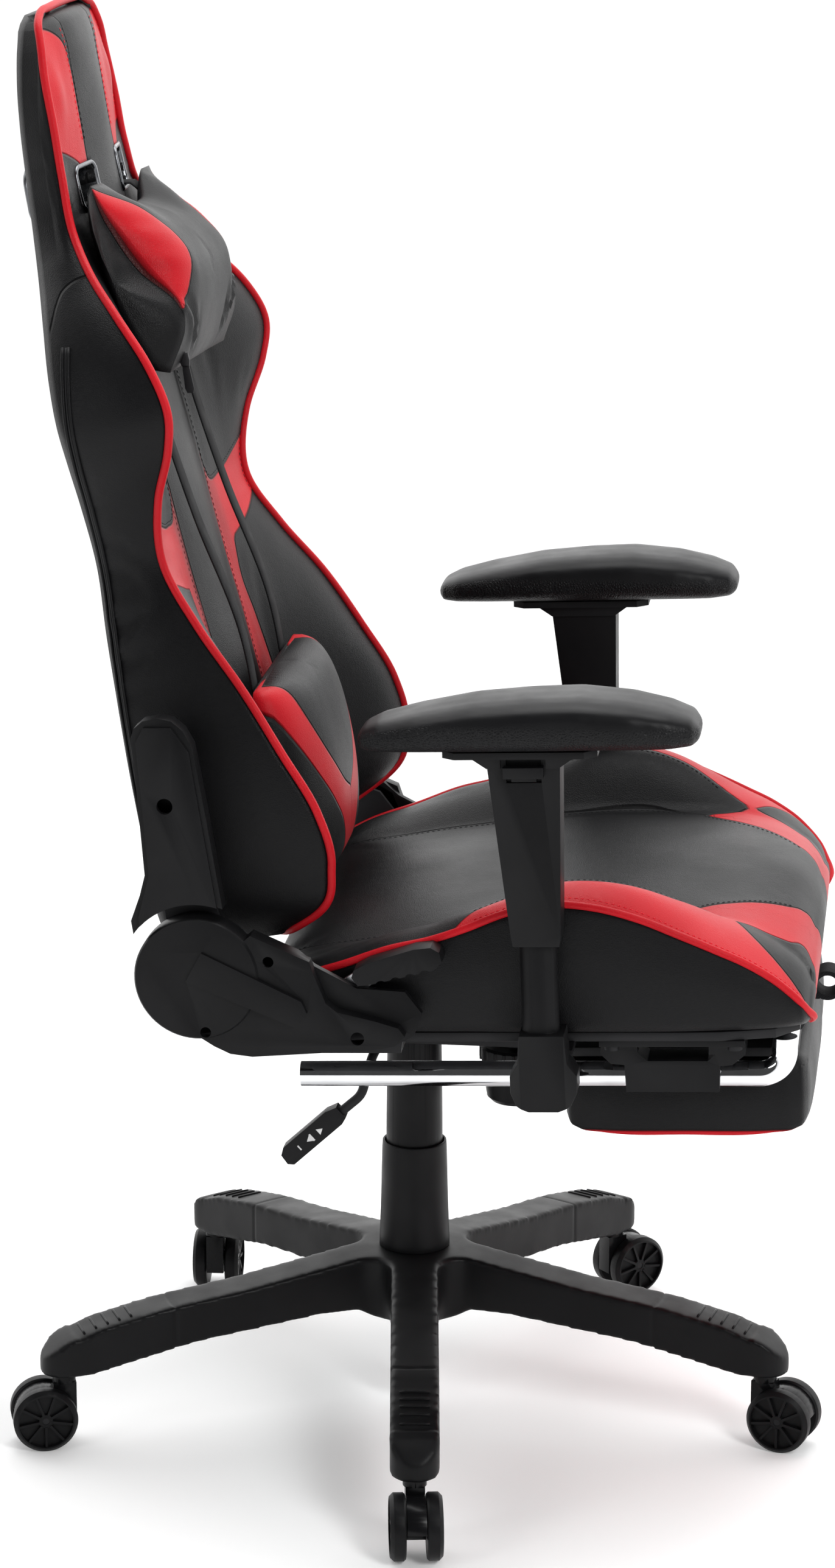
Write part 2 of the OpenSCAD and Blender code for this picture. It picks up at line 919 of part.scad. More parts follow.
module recliner_upper_plates() {
    color(painted)
        in_back()
            both_sides()
                difference() {
                    union() {
                        side_plate(recline_plate_x + plate_t + 0.5, recline_cover_x - 0.7)
                            union() {
                                circle(r = 40);
                                polygon([[-22, 0], [24, 0], [20, 190], [-14, 190]]);
                            }
                        for (h = [100, 175])
                            translate([205, -2, h])
                                rotate([0, 90, 0])
                                    cylinder(r = 8, h = 57);
                    }
                    translate([255, 0, 0])
                        rotate([0, 90, 0])
                            cylinder(r = recline_pin_r + run_gap, h = 20);
                }
}

// Plastic covers of the recliner's upper arms, hollow, with an access hole
module back_covers() {
    inner = recline_cover_x;
    outer = inner + 20;
    foot_r = 62;
    outline = [
        [31, 60], [31, 130], [30, 190], [25, 204], [17, 213], [7, 216.5], [-6, 216], [-14, 211], [-18, 203],
        [-21, 160], [-27, 90], [-34, 74], [-45, 54], [-45, 40], [0, 40], [31, 40]
    ];
    pocket = [[27, 40], [27, 188], [16, 208], [-6, 211], [-14, 200], [-23, 90], [-34, 60], [-34, 40]];
    color(plastic)
        in_back()
            both_sides()
                difference() {
                    union() {
                        side_plate(inner, outer - 3)
                            polygon(outline);
                        side_plate(outer - 3 - tiny, outer)
                            polygon([
                                [27, 60], [27, 186], [16, 208], [-6, 211], [-14, 200],
                                [-17, 160], [-23, 90], [-38, 56], [-38, 40], [27, 40]
                            ]);
                    }
                    side_plate(inner - 1, outer - 5)
                        polygon(pocket);
                    side_plate(inner - 2, outer + 2)
                        circle(r = foot_r);
                    translate([inner - 1, 0, 145])
                        rotate([0, 90, 0])
                            cylinder(r = 6.5, h = 40);
                }
}

// ---------- back ----------

// Stations up the back: height, half width, piping depth, middle depth, rear depth
back_stations = [
    [9, 218, 62, 40, -34], [26, 232, 95, 42, -38], [65, 239, 115, 42, -39], [112, 242, 112, 38, -39],
    [165, 240, 91, 33, -40], [221, 232, 66, 28, -41], [273, 218, 37, 24, -43], [325, 207, 16, 19, -43],
    [380, 220, 24, 12, -44], [421, 240, 43, 6, -44], [450, 248, 50, 3, -45], [488, 238, 40, -2, -47],
    [531, 208, 14, -6, -50], [560, 178, -6, -10, -54], [590, 151, -20, -12, -58],
    [640, 134, -25, -14, -59], [680, 131, -25, -14, -57], [720, 127, -26, -14, -53],
    [748, 118, -26, -15, -49], [762, 106, -28, -19, -47], [768, 92, -30, -24, -45]
];

function back_ring(s) =
    let (
        h = s[0], w = s[1], edge = s[2], mid = s[3], rear = s[4],
        front = [for (u = both_ways(back_half_shares))
            let (rise = ease((abs(u) - 0.56) / 0.42))
                [u * w, -(mid + (edge - mid) * rise), h]]
    )
    concat(
        front,
        [for (u = [0.985, 0.96, 0.9, 0.75, 0.4, 0, -0.4, -0.75, -0.9, -0.96, -0.985])
            let (fall = pow(abs(u), 14))
                [u * w, -(rear + (edge - rear) * 0.5 * fall), h]]
    );

slot_half_w = 23;
slot_half_h = 16;

// Rounded slot through the back, as a plan outline
module slot_outline(grow) {
    r = 7 + grow;
    a = slot_half_w + grow;
    b = slot_half_h + grow;
    union() {
        square([2 * a, 2 * (b - r)], center = true);
        square([2 * (a - r), 2 * b], center = true);
        for (sx = [-1, 1], sy = [-1, 1])
            translate([sx * (a - r), sy * (b - r)])
                circle(r = r);
    }
}

// Runs an outline along the depth axis at both slots
module at_slots(d_low, d_high) {
    both_sides()
        translate([slot_x, -d_low, slot_h])
            rotate([90, 0, 0])
                linear_extrude(d_high - d_low)
                    children();
}

module back_cushion() {
    color(leather)
        in_back()
            difference() {
                loft([for (s = back_stations) back_ring(s)]);
                at_slots(-90, 40)
                    slot_outline(2.5);
            }
}

module slot_bezels() {
    color(bezel_grey)
        in_back()
            difference() {
                union() {
                    at_slots(-60, -12.5)
                        slot_outline(2.5);
                    at_slots(-12.2, -10.8)
                        slot_outline(8);
                }
                at_slots(-90, 40)
                    slot_outline(0);
            }
}

module back_frame() {
    tube_d = 20;
    half = [
        [200, 0, 30], [200, 0, 190], [172, 2, 325], [180, 20, 445], [110, 38, 590], [104, 36, 712]
    ];
    mirrored = [for (i = [len(half) - 1:-1:0]) [-half[i].x, half[i].y, half[i].z]];
    color(painted)
        in_back()
            union() {
                bent_bar(concat(half, mirrored), tube_d);
                bar([-200, 0, 110], [200, 0, 110], 14);
                bar([-172, 2, 325], [172, 2, 325], 14);
            }
}

strap_half_w = 12;
strap_t = 2;

// Two long straps from the slots down behind the lumbar pillow, and the band through the slots
module pillow_straps() {
    strap_x = 75;
    path = [
        [-45, 609.6], [-9.8, 609.6], [-8.4, 604], [-7.2, 560], [-2.2, 525],
        [0.9, 488], [7.7, 436], [44.5, 240], [44.5, 110]
    ];
    outline = concat(path, [for (i = [len(path) - 1:-1:0]) path[i] + strap_side(i) * strap_t]);
    color(webbing)
        in_back() {
            both_sides()
                side_plate(strap_x - strap_half_w, strap_x + strap_half_w)
                    polygon(outline);
            translate([-54, 60.5, 614])
                cube([108, strap_t, 20]);
            both_sides() {
                translate([52, 8.6, 614])
                    cube([strap_t, 53, 20]);
                translate([34, 8.5, 590])
                    cube([20, strap_t, 44]);
            }
        }
}

// Direction in which the strap's thickness lies at point i of its path
function strap_side(i) =
    i == 0 ? [0, -1] : i == 1 ? [-0.6, -1] : i == 2 ? [-1, -0.4] : i == 7 ? [-1, -0.3] : [-1, 0];

// Stations up a pillow: share of the height against share of the width and of the thickness
pillow_stations = [
    [0, 0.8, 0.25], [0.04, 0.92, 0.52], [0.12, 0.98, 0.78], [0.3, 1, 0.97], [0.5, 1, 1],
    [0.7, 1, 0.97], [0.88, 0.98, 0.78], [0.96, 0.92, 0.52], [1, 0.8, 0.25]
];

module pillow(half_w, d_low, d_high, h_low, h_high) {
    roundness = 0.55;
    count = 28;
    mid = (d_low + d_high) / 2;
    color(leather)
        in_back()
            loft([
                for (s = pillow_stations) [
                    for (p = soft_ring(half_w * s[1], (d_high - d_low) / 2 * s[2], roundness, count))
                        [p.x, -mid + p.y, h_low + (h_high - h_low) * s[0]]
                ]
            ]);
}

module lumbar_pillow() pillow(126, 47.5, 101, 12, 190);
module head_pillow() pillow(127, 8.5, 66, 466, 629);

// ---------- footrest ----------

module footrest_rails() {
    bend = 20;
    up_f = crossbar_f;
    color(chrome)
        in_seat()
            union() {
                both_sides() {
                    bar([rail_x, 68, rail_z], [rail_x, bend - up_f, rail_z], rail_d);
                    translate([rail_x, bend - up_f, rail_z + bend])
                        rotate([90, 0, 90])
                            rotate([0, 0, 180])
                                rotate_extrude(angle = 90)
                                    translate([bend, 0])
                                        circle(d = rail_d);
                    translate([rail_x, -up_f, rail_z + bend - tiny])
                        cylinder(d = rail_d, h = crossbar_z - rail_z - bend + tiny + rail_d / 2);
                }
                bar([-rail_x, -up_f, crossbar_z], [rail_x, -up_f, crossbar_z], rail_d);
            }
}

module footrest_guides() {
    color(plastic)
        in_seat()
            both_sides()
                difference() {
                    union() {
                        side_plate(rail_x - 16, rail_x + 16)
                            polygon([
                                [202, 401], [278, 401], [279, 423], [289, 424], [300, 433],
                                [300, 436], [278, 436], [269, 427.5], [220, 427.5], [211, 436],
                                [182, 436], [182, 433], [190, 425], [201, 424]
                            ]);
                        translate([rail_x - 16, -300, 433])
                            cube([32, 30, flange_z - 433 + tiny]);
                        translate([rail_x - 16, -212, 433])
                            cube([32, 30, flange_z - 433 + tiny]);
                        translate([rail_x - 16, -300, flange_z])
                            cube([46, 118, plate_t]);
                    }
                    bar([rail_x, -150, rail_z], [rail_x, -350, rail_z], rail_d + 2 * run_gap);
                }
}

board_top = crossbar_z - 13;
board_t = 8;

module footrest_board() {
    collar_x = [-120, 120];
    collar_w = 30;
    color(painted)
        in_seat()
            difference() {
                union() {
                    translate([-172, -340, board_top - board_t])
                        cube([344, 190, board_t]);
                    for (x = collar_x)
                        side_plate(x - collar_w / 2, x + collar_w / 2)
                            union() {
                                translate([crossbar_f, crossbar_z])
                                    circle(r = 14);
                                translate([crossbar_f - 14, board_top - 1])
                                    square([22, 14]);
                            }
                }
                bar([-160, -crossbar_f, crossbar_z], [160, -crossbar_f, crossbar_z], rail_d + 2 * run_gap);
            }
}

footrest_stations = [
    [146, 160, 352, 404], [150, 172, 345, 411.5], [160, 178, 341.5, 411.8], [200, 180, 340, 411.8],
    [290, 180, 340, 411.8], [332, 178, 341.5, 411.8], [343, 172, 345, 411.5], [347, 160, 352, 404]
];

module footrest_pad() {
    roundness = 0.3;
    count = 28;
    color(leather)
        in_seat()
            loft([
                for (s = footrest_stations) [
                    for (p = soft_ring(s[1], (s[3] - s[2]) / 2, roundness, count))
                        [-p.x, -s[0], (s[3] + s[2]) / 2 + p.y]
                ]
            ]);
}

// Strap loop on the board's front edge, for drawing the footrest out
module pull_loop() {
    color(webbing)
        in_seat()
            side_plate(-14, 14)
                difference() {
                    union() {
                        translate([359, 424])
                            circle(r = 13);
                        translate([340.2, 412.2])
                            square([12, 7.6]);
                    }
                    translate([359, 424])
                        circle(r = 9);
                }
}

base_star();
toe_caps();
stand_tube();
piston_rod();
column_cover_lower();
caster_1_hood();
caster_1_pins();
caster_1_wheels();
caster_2_hood();
caster_2_pins();
caster_2_wheels();
caster_3_hood();
caster_3_pins();
caster_3_wheels();
caster_4_hood();
caster_4_pins();
caster_4_wheels();
caster_5_hood();
caster_5_pins();
caster_5_wheels();
pressure_tube();
column_cover_upper();
mech_housing();
mech_pivot_pin();
tension_spring();
tension_knob();
lock_sleeve();
lever_rod();
lever_paddle();
seat_plate();
seat_pan();
seat_cushion();
seat_bolts();
arm_post_right();
arm_post_left();
arm_sleeve_right();
arm_sleeve_left();
arm_pad_right();
arm_pad_left();
arm_button_right();
arm_button_left();
recliner_lower_plates();
recliner_covers();
recliner_pins();
recline_lever();
recline_grip();
footrest_guides();
footrest_rails();
footrest_board();
footrest_pad();
pull_loop();
back_frame();
back_cushion();
recliner_upper_plates();
back_covers();
slot_bezels();
pillow_straps();
lumbar_pillow();
head_pillow();
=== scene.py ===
"""The finished look of a gaming chair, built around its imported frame.

Soft goods are lofted through their own stations, puffed by a short cloth simulation and dressed
with piping, stitches and zips. Hard parts keep their CAD shape and get rounded edges.
Stations and outlines are in millimetres, in the tilted axes of the seat or of the back.
"""

import json
from contextlib import contextmanager
from math import cos, pi, radians, sin

import bmesh
import bpy
import numpy as np
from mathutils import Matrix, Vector
from mathutils.bvhtree import BVHTree

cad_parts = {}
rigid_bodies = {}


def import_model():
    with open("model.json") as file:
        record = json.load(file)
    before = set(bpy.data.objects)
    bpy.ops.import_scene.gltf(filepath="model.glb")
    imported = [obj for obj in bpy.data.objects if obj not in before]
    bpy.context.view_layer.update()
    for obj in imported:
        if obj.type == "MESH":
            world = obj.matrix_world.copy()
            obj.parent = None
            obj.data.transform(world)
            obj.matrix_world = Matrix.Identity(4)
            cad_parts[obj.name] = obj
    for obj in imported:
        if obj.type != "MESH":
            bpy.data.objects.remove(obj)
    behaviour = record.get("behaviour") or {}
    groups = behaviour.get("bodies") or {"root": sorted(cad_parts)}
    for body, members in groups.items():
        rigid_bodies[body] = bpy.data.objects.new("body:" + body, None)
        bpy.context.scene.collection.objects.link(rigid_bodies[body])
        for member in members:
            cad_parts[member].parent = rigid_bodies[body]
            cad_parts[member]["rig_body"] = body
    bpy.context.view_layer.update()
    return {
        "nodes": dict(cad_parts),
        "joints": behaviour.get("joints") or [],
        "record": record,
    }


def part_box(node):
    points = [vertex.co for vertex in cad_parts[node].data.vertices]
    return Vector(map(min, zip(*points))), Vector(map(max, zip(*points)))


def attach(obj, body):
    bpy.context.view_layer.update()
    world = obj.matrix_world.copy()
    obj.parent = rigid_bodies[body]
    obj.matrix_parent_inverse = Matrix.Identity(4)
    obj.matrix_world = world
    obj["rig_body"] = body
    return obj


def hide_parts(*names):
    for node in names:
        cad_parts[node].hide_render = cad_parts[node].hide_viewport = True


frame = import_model()

MM = 0.001
joints = {j["name"]: j for j in frame["joints"]}


# ---------- axes of the seat and of the back ----------


class Axes:
    """Tilted axes through a joint: x across, forward and up, in millimetres."""

    def __init__(self, joint, forward, up, up_axis):
        self.up = Vector(joints[up_axis]["axis"]).normalized()
        self.forward = Vector((0, -self.up.z, self.up.y))
        pivot = Vector(joints[joint]["pos_m"])
        self.origin = pivot - MM * (forward * self.forward + up * self.up)

    def place(self, points):
        """Coordinates in metres of an array of (x, forward, up)."""
        p = np.asarray(points, float) * MM
        flat = p.reshape(-1, 3)
        out = np.array(self.origin) + flat[:, 1:2] * np.array(self.forward)
        out = out + flat[:, 2:3] * np.array(self.up)
        out[:, 0] += flat[:, 0]
        return out.reshape(p.shape)

    def read(self, world):
        """(x, forward, up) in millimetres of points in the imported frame."""
        rel = np.asarray(world, float) - np.array(self.origin)
        ahead, above = rel @ np.array(self.forward), rel @ np.array(self.up)
        return np.stack([rel[..., 0], ahead, above], -1) / MM


SEAT = Axes("seat_tilt", 45, 425, "arm_height_left")
BACK = Axes("back_recline", 0, 0, "headrest_slide")


# ---------- curves and outlines ----------


def spline(table, at):
    """Rows of a station table, keyed by its first column, on a smooth curve through them."""
    t = np.asarray(table, float)
    x, y = t[:, 0], t[:, 1:]
    slope = np.gradient(y, x, axis=0)
    at = np.clip(np.asarray(at, float), x[0], x[-1])
    i = np.clip(np.searchsorted(x, at, side="right") - 1, 0, len(x) - 2)
    span = (x[i + 1] - x[i])[..., None]
    s = (at - x[i])[..., None] / span
    h00, h10 = 2 * s**3 - 3 * s**2 + 1, s**3 - 2 * s**2 + s
    h01, h11 = 3 * s**2 - 2 * s**3, s**3 - s**2
    return h00 * y[i] + h10 * span * slope[i] + h01 * y[i + 1] + h11 * span * slope[i + 1]


def run_length(points):
    """Distance along a line at each of its points."""
    return np.concatenate([[0], np.cumsum(np.linalg.norm(np.diff(points, axis=0), axis=1))])


def smooth_line(points, step=4.0):
    """Points about `step` apart on a smooth curve through the given ones."""
    p = np.asarray(points, float)
    length = run_length(p)
    keep = np.concatenate([[True], np.diff(length) > 1e-9])
    count = max(3, int(length[-1] / step) + 1)
    at = np.linspace(0, length[-1], count)
    return spline(np.column_stack([length[keep], p[keep]]), at)


def chain(*lines, step=3):
    """Smooth curves one after the other, as one list of points."""
    return [point for line in lines for point in smooth_line(line, step).tolist()]


def mirrored(line):
    """The same line on the other side, run backwards."""
    return [(-a, b, c) for a, b, c in line[::-1]]


def even(points, step):
    """The same line with its points `step` apart, so that stitches keep their pitch."""
    p = np.asarray(points, float)
    length = run_length(p)
    at = np.arange(0, length[-1], step)
    return np.column_stack([np.interp(at, length, p[:, k]) for k in range(p.shape[1])])


def ease(t):
    t = np.clip(t, 0, 1)
    return t * t * (3 - 2 * t)


def signed_distance(outline, points):
    """Distance from 2-D points to a closed outline, positive inside it."""
    a = np.asarray(outline, float)
    b = np.roll(a, -1, axis=0)
    p = np.asarray(points, float)
    best = np.full(len(p), 1e9)
    inside = np.zeros(len(p), bool)
    for (ax, ay), (bx, by) in zip(a, b):
        ex, ey = bx - ax, by - ay
        size = ex * ex + ey * ey
        if size == 0:
            continue
        t = np.clip(((p[:, 0] - ax) * ex + (p[:, 1] - ay) * ey) / size, 0, 1)
        best = np.minimum(best, np.hypot(p[:, 0] - ax - t * ex, p[:, 1] - ay - t * ey))
        if ay != by:
            crosses = (ay > p[:, 1]) != (by > p[:, 1])
            inside ^= crosses & (p[:, 0] < ex * (p[:, 1] - ay) / ey + ax)
    return np.where(inside, best, -best)


def line_distance(line, points):
    """Distance from 2-D points to an open line, positive on its left."""
    a = np.asarray(line, float)
    p = np.asarray(points, float)
    best = np.full(len(p), 1e9)
    side = np.ones(len(p))
    for (ax, ay), (bx, by) in zip(a[:-1], a[1:]):
        ex, ey = bx - ax, by - ay
        size = max(ex * ex + ey * ey, 1e-12)
        rx, ry = p[:, 0] - ax, p[:, 1] - ay
        t = np.clip((rx * ex + ry * ey) / size, 0, 1)
        d = np.hypot(rx - t * ex, ry - t * ey)
        nearer = d < best
        side = np.where(nearer, np.where(ex * ry - ey * rx >= 0, 1, -1), side)
        best = np.minimum(best, d)
    return best * side


# ---------- materials ----------


class Finish:
    """A Principled material and short calls for the nodes that feed it."""

    def __init__(self, name, roughness=0.5, metallic=0.0, **sockets):
        self.material = bpy.data.materials.new(name)
        self.material.use_nodes = True
        self.tree = self.material.node_tree
        self.shader = self.tree.nodes["Principled BSDF"]
        self.shader.inputs["Roughness"].default_value = roughness
        self.shader.inputs["Metallic"].default_value = metallic
        for label, value in sockets.items():
            self.shader.inputs[label.replace("_", " ")].default_value = value
        self.coordinates = self.node("ShaderNodeTexCoord").outputs["Object"]
        self.height = None

    def node(self, kind, inputs=None, **settings):
        made = self.tree.nodes.new(kind)
        for key, value in settings.items():
            setattr(made, key, value)
        for key, value in (inputs or {}).items():
            self.feed(made.inputs[key], value)
        return made

    def feed(self, socket, value):
        if isinstance(value, bpy.types.NodeSocket):
            self.tree.links.new(value, socket)
        else:
            socket.default_value = value

    def math(self, operation, a, b=0.0):
        return self.node("ShaderNodeMath", {0: a, 1: b}, operation=operation).outputs[0]

    def noise(self, scale, detail=3.0, distortion=0.0):
        inputs = {"Vector": self.coordinates, "Scale": scale, "Detail": detail}
        inputs["Distortion"] = distortion
        return self.node("ShaderNodeTexNoise", inputs).outputs["Fac"]

    def cells(self, scale):
        inputs = {"Vector": self.coordinates, "Scale": scale}
        made = self.node("ShaderNodeTexVoronoi", inputs, feature="DISTANCE_TO_EDGE")
        return made.outputs["Distance"]

    def attribute(self, name):
        return self.node("ShaderNodeAttribute", attribute_name=name).outputs["Fac"]

    def spread(self, value, low, high, to_low=0.0, to_high=1.0):
        inputs = {"Value": value, "From Min": low, "From Max": high}
        inputs.update({"To Min": to_low, "To Max": to_high})
        return self.node("ShaderNodeMapRange", inputs).outputs[0]

    def mix(self, amount, a, b, blend="MIX"):
        made = self.node("ShaderNodeMix", data_type="RGBA", blend_type=blend)
        self.feed(made.inputs["Factor"], amount)
        self.feed(made.inputs[6], (*a, 1) if isinstance(a, tuple) else a)
        self.feed(made.inputs[7], (*b, 1) if isinstance(b, tuple) else b)
        return made.outputs[2]

    def bump(self, height, distance, strength=1.0):
        """Adds one layer of relief; distance is its full height in metres."""
        inputs = {"Height": height, "Distance": distance, "Strength": strength}
        if self.height is not None:
            inputs["Normal"] = self.height
        self.height = self.node("ShaderNodeBump", inputs).outputs["Normal"]
        self.feed(self.shader.inputs["Normal"], self.height)

    def set(self, socket, value):
        if isinstance(value, tuple) and len(value) == 3:
            value = (*value, 1)
        self.feed(self.shader.inputs[socket], value)


BLACK = (0.0045, 0.0045, 0.005)
RED = (0.43, 0.006, 0.012)


def leather(name, zoned=False, color=BLACK):
    """Synthetic leather; a zoned one turns red where the mesh's "zone" is above zero."""
    f = Finish(name, roughness=0.42, Specular_IOR_Level=0.13)
    if zoned:
        zone = f.attribute("zone")
        red = f.spread(zone, -0.25, 0.25)
        base = f.mix(red, color, RED)
        seam = f.spread(f.math("ABSOLUTE", zone), 0.0, 1.6)
        sewn = f.spread(f.math("ABSOLUTE", f.attribute("seam")), 0.0, 1.6)
        groove = f.math("MINIMUM", seam, sewn)
        dark = f.mix(groove, (0.12, 0.12, 0.12), (1.0, 1.0, 1.0))
        base = f.mix(1.0, base, dark, "MULTIPLY")
        f.bump(groove, 0.0012, 0.9)
    else:
        base = (*color, 1)
    shade = f.noise(6.0, 3.0)
    toned = f.node("ShaderNodeHueSaturation", {"Color": base})
    f.feed(toned.inputs["Value"], f.spread(shade, 0.3, 0.7, 0.86, 1.16))
    f.set("Base Color", toned.outputs["Color"])
    rough = f.spread(f.noise(9.0, 4.0), 0.3, 0.7, 0.36, 0.5)
    f.set("Roughness", rough)
    grain = f.spread(f.cells(620.0), 0.0, 0.28)
    f.bump(grain, 0.00016, 0.55)
    f.bump(f.noise(240.0, 4.0), 0.00025, 0.35)
    f.bump(f.noise(38.0, 3.0, distortion=0.4), 0.0011, 0.22)
    return f.material


def plastic(name, color=BLACK, low=0.38, high=0.5, grain=900.0, depth=0.00006, strength=0.5):
    """Moulded plastic with a fine etched grain and a slight unevenness."""
    f = Finish(name, Specular_IOR_Level=0.14)
    shade = f.noise(12.0, 3.0)
    light = tuple(1.35 * c for c in color)
    f.set("Base Color", f.mix(f.spread(shade, 0.35, 0.65), color, light))
    f.set("Roughness", f.spread(f.noise(30.0, 4.0), 0.3, 0.7, low, high))
    f.bump(f.noise(grain, 2.0), depth, strength)
    f.bump(f.noise(18.0, 2.0), 0.0004, 0.08)
    return f.material


def pebbled(name):
    """Moulded foam skin, pebbled where the mesh's "grain" is high and smooth elsewhere."""
    f = Finish(name, Specular_IOR_Level=0.14)
    shade = f.spread(f.noise(10.0, 3.0), 0.35, 0.65)
    f.set("Base Color", f.mix(shade, BLACK, tuple(1.5 * c for c in BLACK)))
    f.set("Roughness", f.spread(f.noise(30.0, 4.0), 0.3, 0.7, 0.36, 0.46))
    cell = f.spread(f.cells(420.0), 0.0, 0.3)
    amount = f.attribute("grain")
    f.bump(f.math("MULTIPLY", cell, amount), 0.0004, 0.9)
    f.bump(f.noise(700.0, 2.0), 0.00006, 0.5)
    return f.material


def metal(name, color, low, high, depth=0.00002):
    """Bare or plated metal with faint drawing marks."""
    f = Finish(name, metallic=1.0)
    marks = f.noise(220.0, 4.0)
    dull = tuple(0.82 * c for c in color)
    f.set("Base Color", f.mix(f.spread(f.noise(25.0), 0.3, 0.7), color, dull))
    f.set("Roughness", f.spread(marks, 0.3, 0.7, low, high))
    f.bump(marks, depth, 0.4)
    return f.material


def webbing_finish(name, color=(0.004, 0.004, 0.0045)):
    """Woven polyester band."""
    f = Finish(name, roughness=0.82, Specular_IOR_Level=0.2)
    weave = f.node(
        "ShaderNodeTexWave",
        {"Vector": f.coordinates, "Scale": 260.0, "Distortion": 0.6, "Detail": 1.0},
        bands_direction="DIAGONAL",
    ).outputs["Fac"]
    light = tuple(1.9 * c for c in color)
    f.set("Base Color", f.mix(weave, color, light))
    f.set("Roughness", f.spread(f.noise(60.0), 0.3, 0.7, 0.74, 0.88))
    f.bump(weave, 0.0003, 0.6)
    return f.material


FINISH = {
    "black_leather": leather("leather_black"),
    "zoned_leather": leather("leather_panels", zoned=True),
    "red_leather": leather("leather_red", color=RED),
    "black_plastic": plastic("plastic_black"),
    "hood_plastic": plastic("plastic_gloss", low=0.2, high=0.3, depth=0.00002),
    "pad_skin": pebbled("plastic_pad"),
    "steel": metal("steel_plated", (0.5, 0.51, 0.53), 0.26, 0.4),
    "black_paint": plastic("paint_black", (0.012, 0.012, 0.013), 0.4, 0.52, 500.0, 0.00005, 0.4),
    "chrome": metal("chrome_polished", (0.86, 0.87, 0.89), 0.05, 0.1, depth=0.000004),
    "webbing": webbing_finish("band_woven"),
    "bezel": metal("bezel_satin", (0.16, 0.165, 0.175), 0.22, 0.34),
    "thread": webbing_finish("thread_black", (0.011, 0.011, 0.012)),
    "red_thread": webbing_finish("thread_red", (0.5, 0.015, 0.025)),
    "print": plastic("print_white", (0.5, 0.5, 0.5), 0.5, 0.6),
}


# ---------- mesh helpers ----------


def linked(name, data, *materials):
    """A new object in the scene, with its materials."""
    made = bpy.data.objects.new(name, data)
    bpy.context.scene.collection.objects.link(made)
    for material in materials:
        data.materials.append(material)
    return made


@contextmanager
def editing(mesh, target=None):
    """The mesh as a bmesh, written back, or to another mesh, afterwards."""
    bm = bmesh.new()
    bm.from_mesh(mesh)
    yield bm
    bm.to_mesh(target or mesh)
    bm.free()


def make_object(name, vertices, faces, finish):
    mesh = bpy.data.meshes.new(name)
    mesh.from_pydata([tuple(v) for v in vertices], [], [tuple(f) for f in faces])
    mesh.validate()
    mesh.update()
    made = linked(name, mesh, FINISH[finish])
    mesh.shade_smooth()
    return made


def finished(piece, body, slot, *stands_for):
    """Puts a piece on its body and hides the CAD nodes it stands for; the slot argument is not used."""
    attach(piece, body)
    if stands_for:
        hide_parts(*stands_for)
    return piece


def coordinates(piece):
    co = np.empty(len(piece.data.vertices) * 3)
    piece.data.vertices.foreach_get("co", co)
    return co.reshape(-1, 3)


def set_coordinates(piece, co):
    piece.data.vertices.foreach_set("co", np.asarray(co, float).ravel())
    piece.data.update()


def normals(piece):
    piece.data.update()
    out = np.empty(len(piece.data.vertices) * 3)
    piece.data.vertex_normals.foreach_get("vector", out)
    return out.reshape(-1, 3)


def emboss(piece, lift):
    """Moves the vertices along their normals by lift millimetres."""
    set_coordinates(piece, coordinates(piece) + normals(piece) * (lift * MM)[:, None])


def fold(points, place, turn, long, wide, size):
    """Height of a soft fold at 2-D points, from its half length and half width."""
    x, y = (points - np.array(place)).T
    along = x * cos(turn) + y * sin(turn)
    across = -x * sin(turn) + y * cos(turn)
    return size * np.exp(-((across / wide) ** 2) - (along / long) ** 2)


def paint(piece, **layers):
    """Stores one number for each vertex in each layer, for the material to read."""
    for name, values in layers.items():
        attribute = piece.data.attributes.new(name, "FLOAT", "POINT")
        attribute.data.foreach_set("value", np.asarray(values, np.float32))


def apply_modifiers(piece):
    depsgraph = bpy.context.evaluated_depsgraph_get()
    mesh = bpy.data.meshes.new_from_object(piece.evaluated_get(depsgraph))
    piece.modifiers.clear()
    piece.data = mesh


def loft(rings, cap=True):
    """Vertices and faces through rings with the same number of points, ends closed."""
    rings = np.asarray(rings, float)
    m, n = rings.shape[:2]
    vertices = rings.reshape(-1, 3)
    faces = [
        (j * n + i, j * n + (i + 1) % n, (j + 1) * n + (i + 1) % n, (j + 1) * n + i)
        for j in range(m - 1)
        for i in range(n)
    ]
    if cap:
        vertices = np.vstack([vertices, rings[0].mean(0), rings[-1].mean(0)])
        faces += [((i + 1) % n, i, m * n) for i in range(n)]
        last = (m - 1) * n
        faces += [(last + i, last + (i + 1) % n, m * n + 1) for i in range(n)]
    return vertices, faces


def outward(piece):
    """Turns all faces of a closed piece outwards."""
    with editing(piece.data) as bm:
        bmesh.ops.recalc_face_normals(bm, faces=bm.faces)
        if bm.calc_volume(signed=True) < 0:
            bmesh.ops.reverse_faces(bm, faces=bm.faces)


def closed(name, vertices, faces, finish):
    """A closed piece with its faces turned outwards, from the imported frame's metres."""
    piece = make_object(name, vertices, faces, finish)
    outward(piece)
    return piece


def surface(piece):
    """A tree for projecting points onto a piece."""
    piece.data.update()
    polygons = [tuple(p.vertices) for p in piece.data.polygons]
    return BVHTree.FromPolygons([v.co for v in piece.data.vertices], polygons)


def drop(tree, points, direction, reach=0.2):
    """Where rays along direction first meet the surface: places and normals."""
    ray = Vector(direction).normalized()
    hits = []
    for p in points:
        start = Vector(p) - ray * reach
        place, normal, _, _ = tree.ray_cast(start, ray, 2 * reach)
        if place is not None:
            hits.append((np.array(place), np.array(normal)))
    return hits


